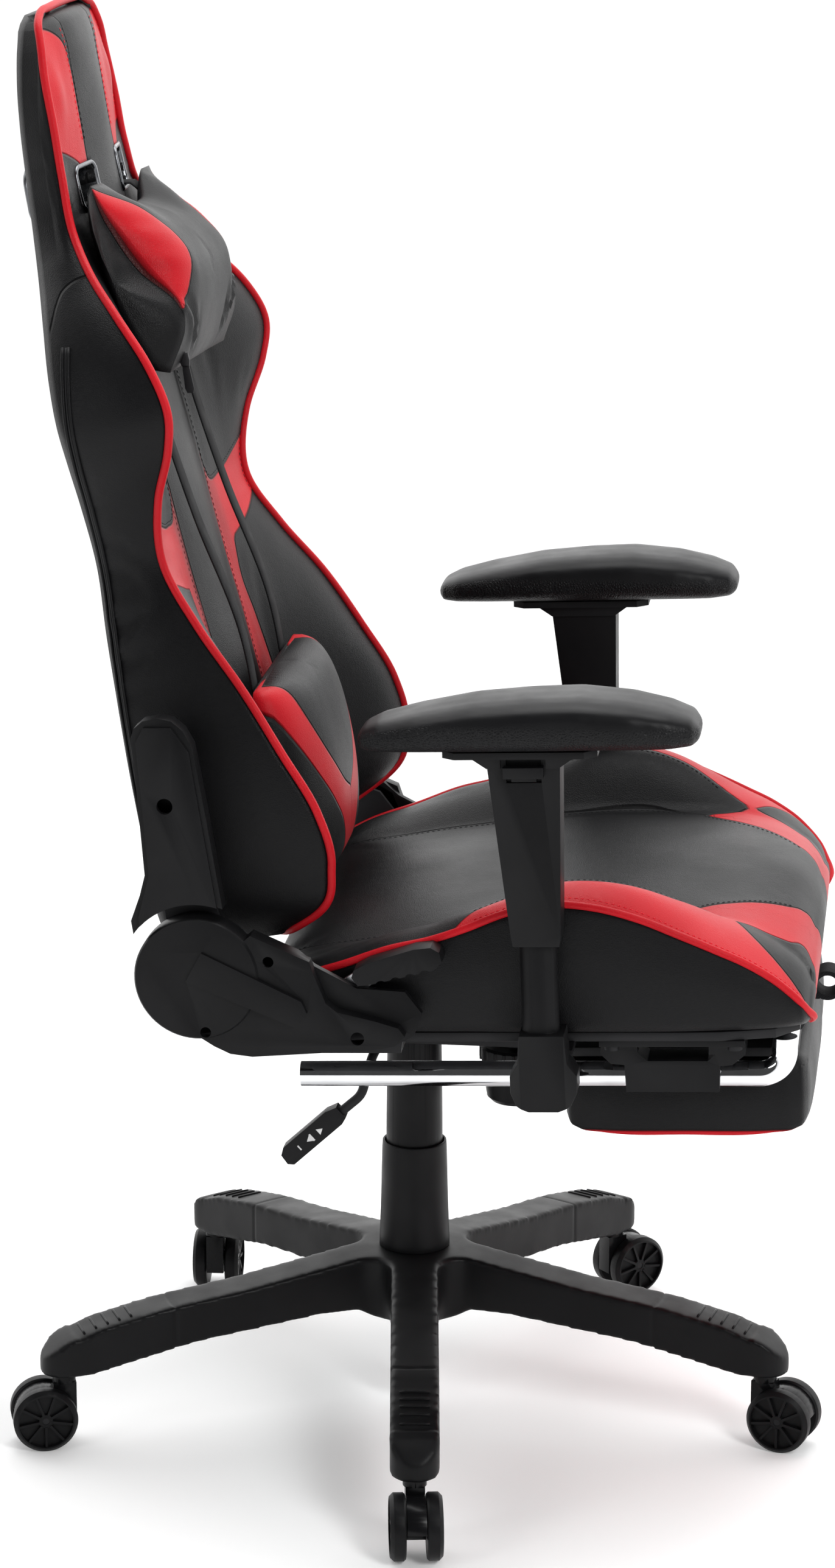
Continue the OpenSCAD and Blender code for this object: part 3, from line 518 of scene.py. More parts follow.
def tube_rings(path, radius, sides):
    """Rings of a round cord along a path."""
    p = np.asarray(path, float)
    tangent = np.gradient(p, axis=0)
    tangent /= np.linalg.norm(tangent, axis=1)[:, None]
    normal = np.cross(tangent[0], (0.3, 0.2, 0.93))
    rings = []
    for point, along in zip(p, tangent):
        normal = normal - along * (normal @ along)
        normal /= np.linalg.norm(normal)
        other = np.cross(along, normal)
        turn = 2 * pi * np.arange(sides) / sides
        spoke = np.outer(np.cos(turn), normal) + np.outer(np.sin(turn), other)
        rings.append(point + radius * spoke)
    return np.array(rings)


def tube(name, path, radius, finish, sides):
    return closed(name, *loft(tube_rings(path, radius, sides)), finish)


def join(name, pieces):
    """One object from several that share a body and a finish."""
    bm = bmesh.new()
    materials = []
    for piece in pieces:
        offset = len(bm.faces)
        bm.from_mesh(piece.data)
        bm.faces.ensure_lookup_table()
        for face in bm.faces[offset:]:
            material = piece.data.materials[face.material_index]
            if material not in materials:
                materials.append(material)
            face.material_index = materials.index(material)
    mesh = bpy.data.meshes.new(name)
    bm.to_mesh(mesh)
    bm.free()
    for piece in pieces:
        bpy.data.objects.remove(piece)
    return linked(name, mesh, *materials)


STITCH_PITCH, STITCH_LENGTH = 5.0 * MM, 3.4 * MM
THREAD_RADIUS, THREAD_SINK = 0.32 * MM, 0.12 * MM
# Along one stitch: share of its length, and lift in thread radii
STITCH_AT, STITCH_LIFT = np.array(((0, 0.12, 0.5, 0.88, 1), (-2.2, 0.2, 1, 0.2, -2.2)))


def stitches(name, lines, finish):
    """Thread stitches laid along lines of (place, normal) hits."""
    vertices, faces = [], []
    for hits in lines:
        if len(hits) < 3:
            continue
        places = np.array([h[0] for h in hits])
        normal = np.array([h[1] for h in hits])
        run = run_length(places)
        for start in np.arange(0, run[-1] - STITCH_LENGTH, STITCH_PITCH):
            at = start + STITCH_AT * STITCH_LENGTH
            middle = np.column_stack([np.interp(at, run, places[:, k]) for k in range(3)])
            up = np.column_stack([np.interp(at, run, normal[:, k]) for k in range(3)])
            up /= np.linalg.norm(up, axis=1)[:, None]
            lift = STITCH_LIFT * THREAD_RADIUS - THREAD_SINK
            v, f = loft(tube_rings(middle + up * lift[:, None], THREAD_RADIUS, 6))
            faces += [tuple(len(vertices) + i for i in face) for face in f]
            vertices += list(v)
    return make_object(name, vertices, faces, finish)


CLOTH_STIFFNESS, CLOTH_FRAMES = 12.0, 20


def puff(piece, pinned, reach, pressure=4.0):
    """Swells a closed piece by cloth simulation; pinned is 0 to 1, reach the cap in metres."""
    rest = coordinates(piece)
    group = piece.vertex_groups.new(name="pins")
    for level in np.unique(np.round(pinned, 1)):
        if level > 0:
            found = np.nonzero(np.round(pinned, 1) == level)[0]
            group.add([int(i) for i in found], float(level), "REPLACE")
    cloth = piece.modifiers.new("cloth", "CLOTH")
    s = cloth.settings
    s.quality = 4
    s.mass = 0.3
    s.tension_stiffness = s.compression_stiffness = CLOTH_STIFFNESS
    s.shear_stiffness = CLOTH_STIFFNESS / 2
    s.bending_stiffness = 0.6
    s.use_pressure = True
    s.uniform_pressure_force = pressure
    s.vertex_group_mass = "pins"
    s.pin_stiffness = 1.0
    s.effector_weights.gravity = 0.0
    cloth.point_cache.frame_start, cloth.point_cache.frame_end = 1, CLOTH_FRAMES
    scene = bpy.context.scene
    for number in range(1, CLOTH_FRAMES + 1):
        scene.frame_set(number)
    evaluated = piece.evaluated_get(bpy.context.evaluated_depsgraph_get())
    moved = np.empty(len(rest) * 3)
    evaluated.data.vertices.foreach_get("co", moved)
    moved = moved.reshape(-1, 3) - rest
    piece.modifiers.remove(cloth)
    piece.vertex_groups.clear()
    scene.frame_set(1)
    size = np.linalg.norm(moved, axis=1)
    cap = np.maximum(np.asarray(reach), 1e-6)
    soft = cap * np.tanh(size / cap)
    moved *= (soft / np.maximum(size, 1e-9))[:, None]
    set_coordinates(piece, rest + moved)


def rounded(node, finish, width):
    """The CAD node's own shape with softened edges and its finish."""
    source = frame["nodes"][node]
    mesh = bpy.data.meshes.new(node + "_rounded")
    with editing(source.data, mesh) as bm:
        bmesh.ops.remove_doubles(bm, verts=bm.verts, dist=0.00001)
        bmesh.ops.dissolve_limit(
            bm, angle_limit=radians(0.6), verts=bm.verts, edges=bm.edges, use_dissolve_boundaries=False
        )
    piece = linked(node + "_finish", mesh, FINISH[finish])
    mesh.shade_smooth()
    bevel = piece.modifiers.new("edges", "BEVEL")
    bevel.width, bevel.segments, bevel.limit_method = width, 3, "ANGLE"
    bevel.angle_limit = radians(30)
    bevel.use_clamp_overlap = True
    bevel.harden_normals = True
    bevel.miter_outer = "MITER_ARC"
    apply_modifiers(piece)
    piece.data.set_sharp_from_angle(angle=radians(40))
    return finished(piece, source["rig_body"], slot_of[node], node)


slot_of = {s["node"]: s["material_slot"] for s in frame["record"]["subparts"]}


# ---------- back ----------

# Up the back: height, half width, then depths of piping, seam and middle, and of the rear
BACK_STATIONS = [
    (9, 218, 62, 30, 40, -34),
    (26, 232, 95, 32, 42, -38),
    (65, 239, 115, 33, 42, -39),
    (112, 242, 112, 29, 38, -39),
    (165, 240, 91, 24, 33, -40),
    (221, 232, 66, 19, 28, -41),
    (273, 218, 37, 13, 22, -43),
    (325, 207, 16, 8, 17, -43),
    (380, 220, 24, 4, 11, -44),
    (421, 240, 43, 0, 6, -44),
    (450, 248, 50, -3, 3, -45),
    (488, 238, 40, -7, -2, -47),
    (531, 208, 14, -11, -6, -50),
    (560, 178, -6, -13, -8, -54),
    (590, 151, -20, -15, -10, -58),
    (640, 134, -25, -17, -12, -59),
    (680, 131, -25, -17, -12, -57),
    (720, 127, -26, -17, -12, -53),
    (748, 118, -26, -18, -13, -49),
    (762, 106, -28, -22, -17, -47),
    (768, 92, -30, -27, -24, -45),
]
# Half width of the middle panel up the back
PANEL_STATIONS = [(9, 75), (400, 75), (450, 73), (531, 66), (590, 60), (640, 58), (768, 55)]
BACK_LOW, BACK_HIGH = BACK_STATIONS[0][0], BACK_STATIONS[-1][0]
BACK_ROWS, BACK_COLUMNS, SIDE_COLUMNS, REAR_COLUMNS = 138, 81, 15, 33
END_ROLL, REAR_CORNER, FLAT_SHARE = 14.0, 22.0, 0.86

# Swell over the frame's tube, as a fold: (across, height), turn, half sizes and height
FRAME_SWELL = ((105, 705), 0, 17, 28, 5)

# Red patches on one half of the back's front: across and height
HEAD_PATCH = chain(
    [(140, 756), (104, 757), (84, 752), (67, 741), (60, 726), (58, 700), (58, 655), (61, 622)],
    [(61, 622), (80, 642), (104, 653), (150, 662)],
)
WAIST_PATCH = chain(
    [(75, 392), (79, 362), (86, 345), (130, 342), (182, 352), (260, 372)],
    [(260, 322), (196, 305), (150, 292), (112, 284)],
    [(112, 284), (101, 250), (104, 216), (107, 180), (109, 100), (108, 5)],
) + [(75, 5)]


def back_section(rows):
    half, edge, seam, middle, rear = spline(BACK_STATIONS, rows).T
    panel = spline(PANEL_STATIONS, rows)[:, 0]
    return half, edge, seam, middle, rear, panel


def back_front_depth(x, h):
    """Depth of the back's front surface before it is puffed."""
    half, edge, seam, middle, _, panel = back_section(h)
    across = np.abs(x)
    inner = seam + (middle - seam) * (1 - np.minimum(across / panel, 1) ** 2)
    rise = ease((across - panel) / (half - panel))
    depth = np.where(across < panel, inner, seam + (edge - seam) * rise)
    depth = depth + fold(np.column_stack([across, h]), *FRAME_SWELL)
    near_end = np.clip(np.minimum(h - BACK_LOW, BACK_HIGH - h) / END_ROLL, 0, 1)
    return depth - END_ROLL * 0.6 * (1 - np.sqrt(1 - (1 - near_end) ** 2)) * (across < half * 0.97)


def back_ring(h):
    half, edge, _, _, rear, _ = (v[0] for v in back_section(np.array([h])))
    u = np.linspace(-1, 1, BACK_COLUMNS)
    x = half * np.sign(u) * (1 - (1 - np.abs(u)) ** 1.12)
    front = [(a, b, h) for a, b in zip(x, back_front_depth(x, np.full(len(x), h)))]
    front[0], front[-1] = (-half, edge, h), (half, edge, h)
    side = []
    for s in np.linspace(0, 1, SIDE_COLUMNS + 1)[1:]:
        depth = edge + (rear + REAR_CORNER - edge) * s
        side.append((half - 5 * s + 3.5 * sin(pi * s), depth, h))
    turn = np.linspace(0, 1, REAR_COLUMNS + 2)[1:-1]
    back = []
    flat = half - 5 - REAR_CORNER
    for t in turn:
        v = 1 - 2 * t
        if abs(v) > FLAT_SHARE:
            angle = (abs(v) - FLAT_SHARE) / (1 - FLAT_SHARE) * pi / 2
            place = (flat + REAR_CORNER * sin(angle), rear + REAR_CORNER * (1 - cos(angle)))
        else:
            place = (flat * abs(v) / FLAT_SHARE, rear)
        back.append((np.sign(v) * place[0] if v else 0.0, place[1], h))
    return front + side + back + mirrored(side)


def make_back():
    rows = BACK_LOW + (BACK_HIGH - BACK_LOW) * np.linspace(0, 1, BACK_ROWS)
    rings = np.array([back_ring(h) for h in rows])
    vertices, faces = loft(rings)
    piece = closed("back_upholstery", BACK.place(vertices), faces, "zoned_leather")
    ring = rings.shape[1]
    column = np.arange(len(vertices)) % ring
    body = np.arange(len(vertices)) < BACK_ROWS * ring
    front = body & (column < BACK_COLUMNS)
    flat = np.column_stack([np.abs(vertices[:, 0]), vertices[:, 2]])
    zone = np.full(len(vertices), -50.0)
    for outline in (HEAD_PATCH, WAIST_PATCH):
        found = signed_distance(outline, flat[front])
        zone[front] = np.maximum(zone[front], found)
    panel = spline(PANEL_STATIONS, vertices[:, 2])[:, 0]
    seam = np.where(front, flat[:, 0] - panel, 50.0)
    side = body & ~front
    arc = smooth_line([(-46, 508), (-40, 526), (-30, 551), (-20, 559), (-6, 562), (14, 563)], 4)
    depth_height = vertices[:, 1:3]
    seam[side] = np.minimum(50.0, line_distance(arc, depth_height[side]))
    seam[side & (vertices[:, 1] < -47)] = 50.0
    edge = front & ((column < 1) | (column > BACK_COLUMNS - 2))
    near = np.minimum(np.abs(zone), np.abs(seam))
    pinned = np.where(front, np.clip(1.1 - near / 9, 0, 1), 0.0)
    pinned[edge] = 1.0
    half = spline(BACK_STATIONS, vertices[:, 2])[:, 0]
    slot = np.hypot(flat[:, 0] - SLOT_X, (vertices[:, 2] - SLOT_H))
    pinned[slot < 42] = 1.0
    pinned[side & (flat[:, 0] < half - 16)] = 0.6
    pinned[~body] = 1.0
    ends = (vertices[:, 2] < BACK_LOW + 3) | (vertices[:, 2] > BACK_HIGH - 3)
    pinned[ends] = 1.0
    reach = np.where(front, 7.0, 3.5) * MM
    reach[front & (flat[:, 0] > panel)] = 9.0 * MM
    puff(piece, pinned, reach)
    creases = sum(fold(depth_height, place, CREASE_TURN, long, 5, size) for place, long, size in CREASES)
    emboss(piece, np.where(side & (vertices[:, 1] > -38), creases, 0))
    paint(piece, zone=zone, seam=seam)
    return piece


# Slanted creases where the sides bend at the waist: (depth, height), half length and size
CREASE_TURN = radians(38)
CREASES = [
    ((-22, 296), 16, 2.2), ((-18, 283), 18, -2.2), ((-14, 270), 20, 2.4), ((-16, 256), 18, -1.8),
    ((-10, 243), 17, 1.6), ((-16, 228), 14, -1.2), ((-20, 214), 14, 1.0), ((-8, 310), 12, -1.2),
]
SLOT_X, SLOT_H = 70, 623

back = make_back()
finished(back, "back", "black_leather", "back_cushion")
back_tree = surface(back)
back_forward = tuple(-BACK.forward)


def back_drop(points):
    """Places on the back's front surface at (x, height) points."""
    start = [(x, 60, h) for x, h in points]
    return drop(back_tree, BACK.place(start), back_forward, reach=0.12)


def both(points):
    return [points, [(-p[0], *p[1:]) for p in points]]


def back_edge():
    """The piping's line: up one side, over the top and down the other."""
    rows = np.arange(14, BACK_HIGH - 6, 6.0)
    half, depth = spline(BACK_STATIONS, rows).T[:2]
    up = [(-a - 0.5, b + 1.5, h) for a, b, h in zip(half, depth, rows)]
    over = [(-96, -27, 766), (-84, -27.5, 769), (-50, -27.5, 770.5), (0, -27.5, 771)]
    start = [(-150, 44, 7), (-195, 54, 7.5)]
    left = start + up + over
    return left + mirrored(left[:-1])


piping = tube("back_piping", BACK.place(smooth_line(back_edge(), 4)), 3.4 * MM, "red_leather", 12)
finished(piping, "back", "red_leather")


# ---------- belt slots ----------


def slot_ring(grow):
    """Rounded outline of a belt slot, as (x, height) around its centre."""
    corner, half_w, half_h = 7 + grow, 23 + grow, 16 + grow
    ring = []
    for turn in np.linspace(0, 2 * pi, 40, endpoint=False):
        c, s = cos(turn), sin(turn)
        ring.append((
            np.sign(c) * (half_w - corner) + corner * c if abs(c) > 0.02 else 0.0,
            np.sign(s) * (half_h - corner) + corner * s if abs(s) > 0.02 else 0.0,
        ))
    return np.array(ring)


def open_slots(piece):
    """Opens both belt slots and lines them, so that the upholstery stays closed."""
    outline = slot_ring(0.0)
    with editing(piece.data) as bm:
        for side in (-1, 1):
            bm.faces.ensure_lookup_table()
            middles = BACK.read([f.calc_center_median() for f in bm.faces])
            flat = np.column_stack([middles[:, 0] * side - SLOT_X, middles[:, 2] - SLOT_H])
            inside = signed_distance(outline, flat) > 0
            gone = [bm.faces[int(i)] for i in np.nonzero(inside)[0]]
            bmesh.ops.delete(bm, geom=gone, context="FACES")
            bmesh.ops.bridge_loops(bm, edges=[e for e in bm.edges if e.is_boundary])
    outward(piece)


open_slots(back)


def make_bezel(side):
    """Rim lying on the leather round a slot, with its lining through the back."""
    rings = []
    for grow, lift in ((3.6, -0.8), (3.4, 0.8), (2.6, 1.4), (1.4, 1.3), (0.4, 0.5), (0, -2)):
        ring = slot_ring(grow)
        rows = [(side * (SLOT_X + x), SLOT_H + h) for x, h in slot_ring(max(grow, 4))]
        base = np.array([BACK.read(hit[0])[1] for hit in back_drop(rows)])
        rings.append([
            (side * (SLOT_X + x), d + lift, SLOT_H + h) for (x, h), d in zip(ring, base)
        ])
    for grow, depth in ((0, -40), (0, -64), (3, -64.5), (6, -63), (6, -58)):
        rings.append([(side * (SLOT_X + x), depth, SLOT_H + h) for x, h in slot_ring(grow)])
    vertices, faces = loft(BACK.place(rings), cap=False)
    return make_object("bezel", vertices, faces, "bezel")


back_tree = surface(back)
bezels = join("slot_rims", [make_bezel(-1), make_bezel(1)])
solid = bezels.modifiers.new("wall", "SOLIDIFY")
solid.thickness, solid.offset = 1.2 * MM, 0
apply_modifiers(bezels)
outward(bezels)
finished(bezels, "back", "bezel", "slot_bezels")


# ---------- seat ----------

# Along the seat: forward, half width, heights of piping and crest, crest's x, valley and middle
SEAT_STATIONS = [
    (-92, 232, 494, 496, 205, 496, 497),
    (-70, 244, 503, 505, 215, 504, 504),
    (-25, 251, 517, 519, 222, 511, 511),
    (15, 254, 531, 533, 225, 517, 516),
    (50, 255, 539, 542, 226, 521, 519),
    (80, 255, 549, 553, 224, 525, 521),
    (107, 256, 560, 562, 221, 529, 523),
    (140, 256, 568, 574, 220, 531, 525),
    (180, 256, 566, 577, 220, 531, 527),
    (220, 256, 555, 568, 214, 531, 530),
    (250, 255, 542, 553, 200, 531, 532),
    (280, 252.5, 528, 536, 186, 530, 533),
    (304, 250, 516, 525, 180, 524, 532),
    (330, 244, 497, 508, 178, 510, 525),
    (342, 238, 484, 498, 175, 501, 518),
    (349, 231, 474, 487, 172, 491, 509),
    (352, 222, 466, 478, 170, 484, 501),
]
SEAT_REAR, SEAT_BROW = SEAT_STATIONS[0][0], SEAT_STATIONS[-1][0]
SEAT_LOW, SEAT_NOSE, VALLEY_X = 457.0, 407.0, 168.0
SEAT_ROWS, SEAT_COLUMNS, SEAT_SIDES = 92, 89, 10
# Red panels on one half of the seat: across, and forward along the top and down the nose
SEAT_BAND = (
    [(262, 60), (252, 68)]
    + chain(
        [(252, 68), (234, 84), (222, 105), (220, 141), (221, 172), (218, 200)],
        [(218, 200), (208, 234), (190, 262), (176, 286)],
        [(176, 290), (205, 308), (222, 328), (228, 345), (226, 365), (215, 390)],
    )
    + [(207, 402), (262, 402)]
)
SEAT_STRIPE = (
    chain(
        [(156, 245), (138, 266), (123, 290), (108, 314), (92, 338), (83, 350)],
        [(83, 350), (74, 365), (70, 385), (68, 409)],
    )
    + [(205, 409)]
    + chain(
        [(205, 402), (180, 385), (158, 365), (150, 350), (163, 338)],
        [(163, 338), (172, 314), (173, 300), (177, 288), (170, 280), (160, 266)],
    )
)
SEAT_VALLEY = smooth_line([(166, -92), (168, 0), (168, 118), (168, 215), (156, 245)], 6).tolist()


def seat_top(x, f):
    """Height of the seat's top before it is puffed."""
    half, edge, crest, crest_x, valley, middle = spline(SEAT_STATIONS, f).T
    across = np.abs(x)
    inner = middle + (valley - middle) * np.minimum(across / VALLEY_X, 1) ** 1.7
    climb = np.clip((across - VALLEY_X) / np.maximum(crest_x - VALLEY_X, 2), 0, 1)
    wall = valley + (crest - valley) * np.sin(climb * pi / 2) ** 1.15
    fall = np.clip((across - crest_x) / (half - crest_x), 0, 1)
    band = crest + (edge - crest) * fall**1.5 + 3.0 * np.sin(pi * fall)
    return np.where(across < VALLEY_X, inner, np.where(across < crest_x, wall, band))


def seat_ring(f):
    half, edge = spline(SEAT_STATIONS, np.array([f]))[0][:2]
    u = np.linspace(-1, 1, SEAT_COLUMNS)
    x = half * np.sign(u) * (1 - (1 - np.abs(u)) ** 1.15)
    top = [(a, f, z) for a, z in zip(x, seat_top(x, np.full(len(x), f)))]
    share = np.linspace(0, 1, SEAT_SIDES + 2)[1:-1]
    side = [(half + 4 * sin(pi * s) - 3 * s, f, edge + (SEAT_LOW + 3 - edge) * s) for s in share]
    floor_x = np.linspace(half - 5, 5 - half, SEAT_COLUMNS)
    bottom = [(a, f, SEAT_LOW + (2.0 if abs(a) > half - 9 else 0.0)) for a in floor_x]
    return top + side + bottom + mirrored(side)


def box_loft(rings, columns, sides, bulges):
    """A closed form through rings whose two ends are filled by grids that bulge outwards."""
    rings = np.asarray(rings, float)
    m, n = rings.shape[:2]
    vertices, faces = loft(rings, cap=False)
    vertices = list(vertices)
    for end, bulge in ((0, bulges[0]), (m - 1, bulges[1])):
        ring = np.arange(n) + end * n
        top = ring[:columns]
        right = ring[columns:columns + sides]
        bottom = ring[columns + sides:2 * columns + sides][::-1]
        left = ring[2 * columns + sides:][::-1]
        grid = [list(top)]
        for k in range(sides):
            share = (k + 1) / (sides + 1)
            row = [left[k]]
            for i in range(1, columns - 1):
                across = i / (columns - 1)
                point = (1 - share) * np.array(vertices[top[i]]) + share * np.array(vertices[bottom[i]])
                push = sin(pi * share) ** 0.6 * sin(pi * across) ** 0.35
                row.append(len(vertices))
                vertices.append(point + np.array((0, bulge * push, 0)))
            grid.append(row + [right[k]])
        grid.append(list(bottom))
        for upper, lower in zip(grid[:-1], grid[1:]):
            for i in range(columns - 1):
                faces.append((upper[i], upper[i + 1], lower[i + 1], lower[i]))
    return np.array(vertices), faces


def make_seat():
    share = np.linspace(0, 1, SEAT_ROWS)
    rows = SEAT_REAR + (SEAT_BROW - SEAT_REAR) * (1 - (1 - share) ** 1.35)
    rings = [seat_ring(f) for f in rows]
    vertices, faces = box_loft(rings, SEAT_COLUMNS, SEAT_SIDES, (-5, 5))
    piece = closed("seat_upholstery", SEAT.place(vertices), faces, "zoned_leather")
    ring = len(rings[0])
    index = np.arange(len(vertices))
    column = index % ring
    on_ring = index < SEAT_ROWS * ring
    top = on_ring & (column < SEAT_COLUMNS)
    nose = ~on_ring & (vertices[:, 1] > 200)
    x, f, z = np.abs(vertices[:, 0]), vertices[:, 1], vertices[:, 2]
    brow = seat_top(x, np.full(len(x), SEAT_BROW))
    down = np.clip((brow - z) / (brow - SEAT_LOW), 0, 1)
    on_nose = SEAT_BROW + 4 + (SEAT_NOSE - SEAT_BROW - 4) * down
    along = np.where(nose, on_nose, f + 4 * ease((f - SEAT_BROW + 32) / 32))
    flat = np.column_stack([x, along])
    shown = top | nose
    zone = np.full(len(vertices), -50.0)
    for outline in (SEAT_BAND, SEAT_STRIPE):
        zone[shown] = np.maximum(zone[shown], signed_distance(outline, flat[shown]))
    seam = np.full(len(vertices), 50.0)
    seam[shown] = line_distance(SEAT_VALLEY, flat[shown])
    near = np.minimum(np.abs(zone), np.abs(seam))
    pinned = np.where(shown, np.clip(1.15 - near / 10, 0, 1), 0.35)
    half = spline(SEAT_STATIONS, f)[:, 0]
    pinned[top & (x > half - 1)] = 1.0
    pinned[z < SEAT_LOW + 4] = 1.0
    pinned[~on_ring & ~nose] = 0.8
    reach = np.where(x < VALLEY_X, 8.0, 5.0) * MM
    reach[~shown] = 2.5 * MM
    reach[nose | (f > 335)] = 2.5 * MM
    puff(piece, pinned, reach)
    paint(piece, zone=zone, seam=seam)
    return piece


seat = make_seat()
finished(seat, "seat", "black_leather", "seat_cushion")
seat_tree = surface(seat)


def seat_edge():
    """The piping's line along one side, tucked under at both ends."""
    rows = np.arange(-88, 351, 6.0)
    half, height = spline(SEAT_STATIONS, rows).T[:2]
    line = [(a + 0.8, f, z - 0.5) for a, f, z in zip(half, rows, height)]
    return [(226, -92, 478)] + line + [(214, 355, 460), (204, 352, 455)]


for points, label in zip(both(seat_edge()), ("left", "right")):
    cord = tube("seat_piping_" + label, SEAT.place(smooth_line(points, 4)), 3.2 * MM, "red_leather", 12)
    finished(cord, "seat", "red_leather")


def seat_drop(points):
    """Places on the seat's top at (x, forward) points."""
    start = [(x, f, 600) for x, f in points]
    return drop(seat_tree, SEAT.place(start), tuple(-SEAT.up), reach=0.16)


def offset(points, amount):
    """A line moved sideways, to its left for a positive amount."""
    p = np.asarray(points, float)
    run = np.gradient(p, axis=0)
    run /= np.linalg.norm(run, axis=1)[:, None]
    return p + amount * np.column_stack([-run[:, 1], run[:, 0]])


band_inner = smooth_line(
    [(234, 84), (222, 105), (220, 141), (221, 172), (218, 200), (208, 234), (190, 262)], 3
)
stripe_inner = smooth_line([(154, 248), (138, 266), (123, 290), (108, 314), (92, 338)], 3)
seat_rows = np.arange(84, 345, 5.0)
seat_brim = np.column_stack([spline(SEAT_STATIONS, seat_rows)[:, 0] - 5.5, seat_rows])
black_lines, red_lines = [], []
for line, amount, lines in (
    (band_inner, 4.0, black_lines),
    (SEAT_VALLEY[2:-2], 3.5, black_lines),
    (stripe_inner, 3.5, black_lines),
    (seat_brim, 0.0, red_lines),
):
    for points in both([tuple(p) for p in offset(line, amount)]):
        lines.append(seat_drop(points))
finished(stitches("seat_stitches_black", black_lines, "thread"), "seat", "black_leather")
finished(stitches("seat_stitches_red", red_lines, "red_thread"), "seat", "red_leather")


# ---------- pillows ----------


HEAD_FRONT = [
    (0, -3, 627), (0.12, 8, 617), (0.25, 24, 603), (0.4, 45, 580), (0.55, 60, 555),
    (0.7, 60, 528), (0.82, 53, 505), (0.92, 44, 484), (1, 34, 467),
]
HEAD_REAR = [
    (0, -4, 627), (0.12, -7, 612), (0.3, -6, 580), (0.5, -1, 545), (0.7, 4, 512),
    (0.85, 9, 484), (0.94, 18, 470), (1, 34, 467),
]
HEAD_SEAM = [(0, -4, 627), (0.3, 2, 592), (0.55, 22, 550), (0.72, 48, 522), (0.84, 52, 502), (1, 34, 467)]
HEAD_FLAT, HEAD_COUNT, HEAD_END, HEAD_CAP = 70.0, 37, 13, 5


def pillow_ring(share, x, size, out):
    """One section of the head pillow; out is 0 in the middle part and 1 at the end seam."""
    front, rear, seam = (spline(table, share) for table in (HEAD_FRONT, HEAD_REAR, HEAD_SEAM))
    full = 0.88 + 0.12 * size
    face, behind = seam + (front - seam) * size, seam + (rear - seam) * full
    dip = 1 - ease((np.abs(x) - 34) / 52)
    top = np.clip(1 - share / 0.5, 0, 1) ** 1.4
    face = face + np.column_stack([6 * dip * top, -23 * dip * top])
    behind = behind + np.column_stack([5 * dip * top, -23 * dip * top])
    lean = np.column_stack([0 * x, 0.05 * (x + HEAD_FLAT + 45)])
    face, behind = face - lean, behind - lean
    tuck = 6 * out * np.sin(pi * share)
    return np.vstack([
        np.column_stack([x, face]),
        np.column_stack([x + np.sign(x) * tuck, behind])[-2:0:-1],
    ])


def make_head_pillow():
    share = np.linspace(0, 1, HEAD_COUNT)
    reach = 56 - 13 * np.sin(pi * share)
    ends = np.sin(np.linspace(0, pi / 2, HEAD_END))
    across = [(-1, e) for e in ends[::-1]] + [(0, s) for s in np.linspace(-0.92, 0.92, 25)]
    across += [(1, e) for e in ends]
    rings, zone, outs = [], [], []
    for side, value in across:
        out = value if side else 0.0
        x = side * (HEAD_FLAT + reach * out) if side else np.full(HEAD_COUNT, HEAD_FLAT * value)
        rings.append(pillow_ring(share, x, np.sqrt(max(0.0, 1 - out**2)) * 0.985 + 0.015, out))
        tip = np.clip((share - 0.01) / 0.76, 0, 1)
        lens = np.abs(x) - (HEAD_FLAT + reach - 42 * np.sin(pi * tip))
        lens = np.minimum(lens, (1 - out) * reach)
        lens = np.where((share > 0.77) | (share < 0.01), -6.0, lens)
        zone.append(list(lens) + [-9.0] * (HEAD_COUNT - 2))
        outs.append(np.full(len(rings[0]), out))
    for end in (0, -1):
        rim = rings[end]
        middle = rim.mean(0)
        for k in range(1, HEAD_CAP):
            size = cos(k / HEAD_CAP * pi / 2)
            ring = middle + (rim - middle) * size
            ring[:, 0] = rim[:, 0] + (middle[0] - rim[:, 0]) * (1 - size) * 0.6
            bulge = sin(k / HEAD_CAP * pi / 2)
            ring += np.array((np.sign(middle[0]) * 21, -9, -4)) * bulge
            place = 0 if end == 0 else len(rings)
            rings.insert(place, ring)
            zone.insert(place, [-9.0] * len(ring))
            outs.insert(place, np.full(len(ring), 0.0))
    vertices, faces = loft(rings)
    piece = closed("head_pillow_cover", BACK.place(vertices), faces, "zoned_leather")
    out = np.append(np.concatenate(outs), [0.0, 0.0])
    zone = np.append(np.concatenate(zone), [-9.0, -9.0])
    pinned = np.clip((out - 0.97) / 0.03, 0, 1)
    pinned = np.maximum(pinned, np.clip(0.9 - np.abs(zone) / 7, 0, 0.7))
    puff(piece, pinned, np.full(len(pinned), 5.0 * MM), pressure=3.0)
    flat = np.column_stack([np.abs(vertices[:, 0]), vertices[:, 2]])
    folds = sum(fold(flat, *shape) for shape in HEAD_FOLDS)
    emboss(piece, folds * np.clip((1.02 - out) * 6, 0, 1))
    paint(piece, zone=zone, seam=np.where(out > 0.97, 0.0, 30.0))
    return piece


# Folds near the head pillow's ends: (across, height), direction, half length, half width, size
HEAD_FOLDS = [
    ((96, 500), 0.9, 26, 4.5, 3.0), ((84, 496), 1.0, 24, 4.5, -3.4), ((72, 492), 1.1, 22, 5, 2.6),
    ((104, 520), 0.6, 22, 4, -2.4), ((112, 560), 0.3, 18, 5, 2.0), ((100, 590), 0.2, 20, 6, -1.8),
    ((60, 486), 1.3, 20, 5, -2.2), ((46, 600), 0.1, 26, 8, 1.6), ((20, 590), -0.1, 24, 7, -1.6),
]

head_pillow = make_head_pillow()
finished(head_pillow, "headrest", "black_leather", "head_pillow")

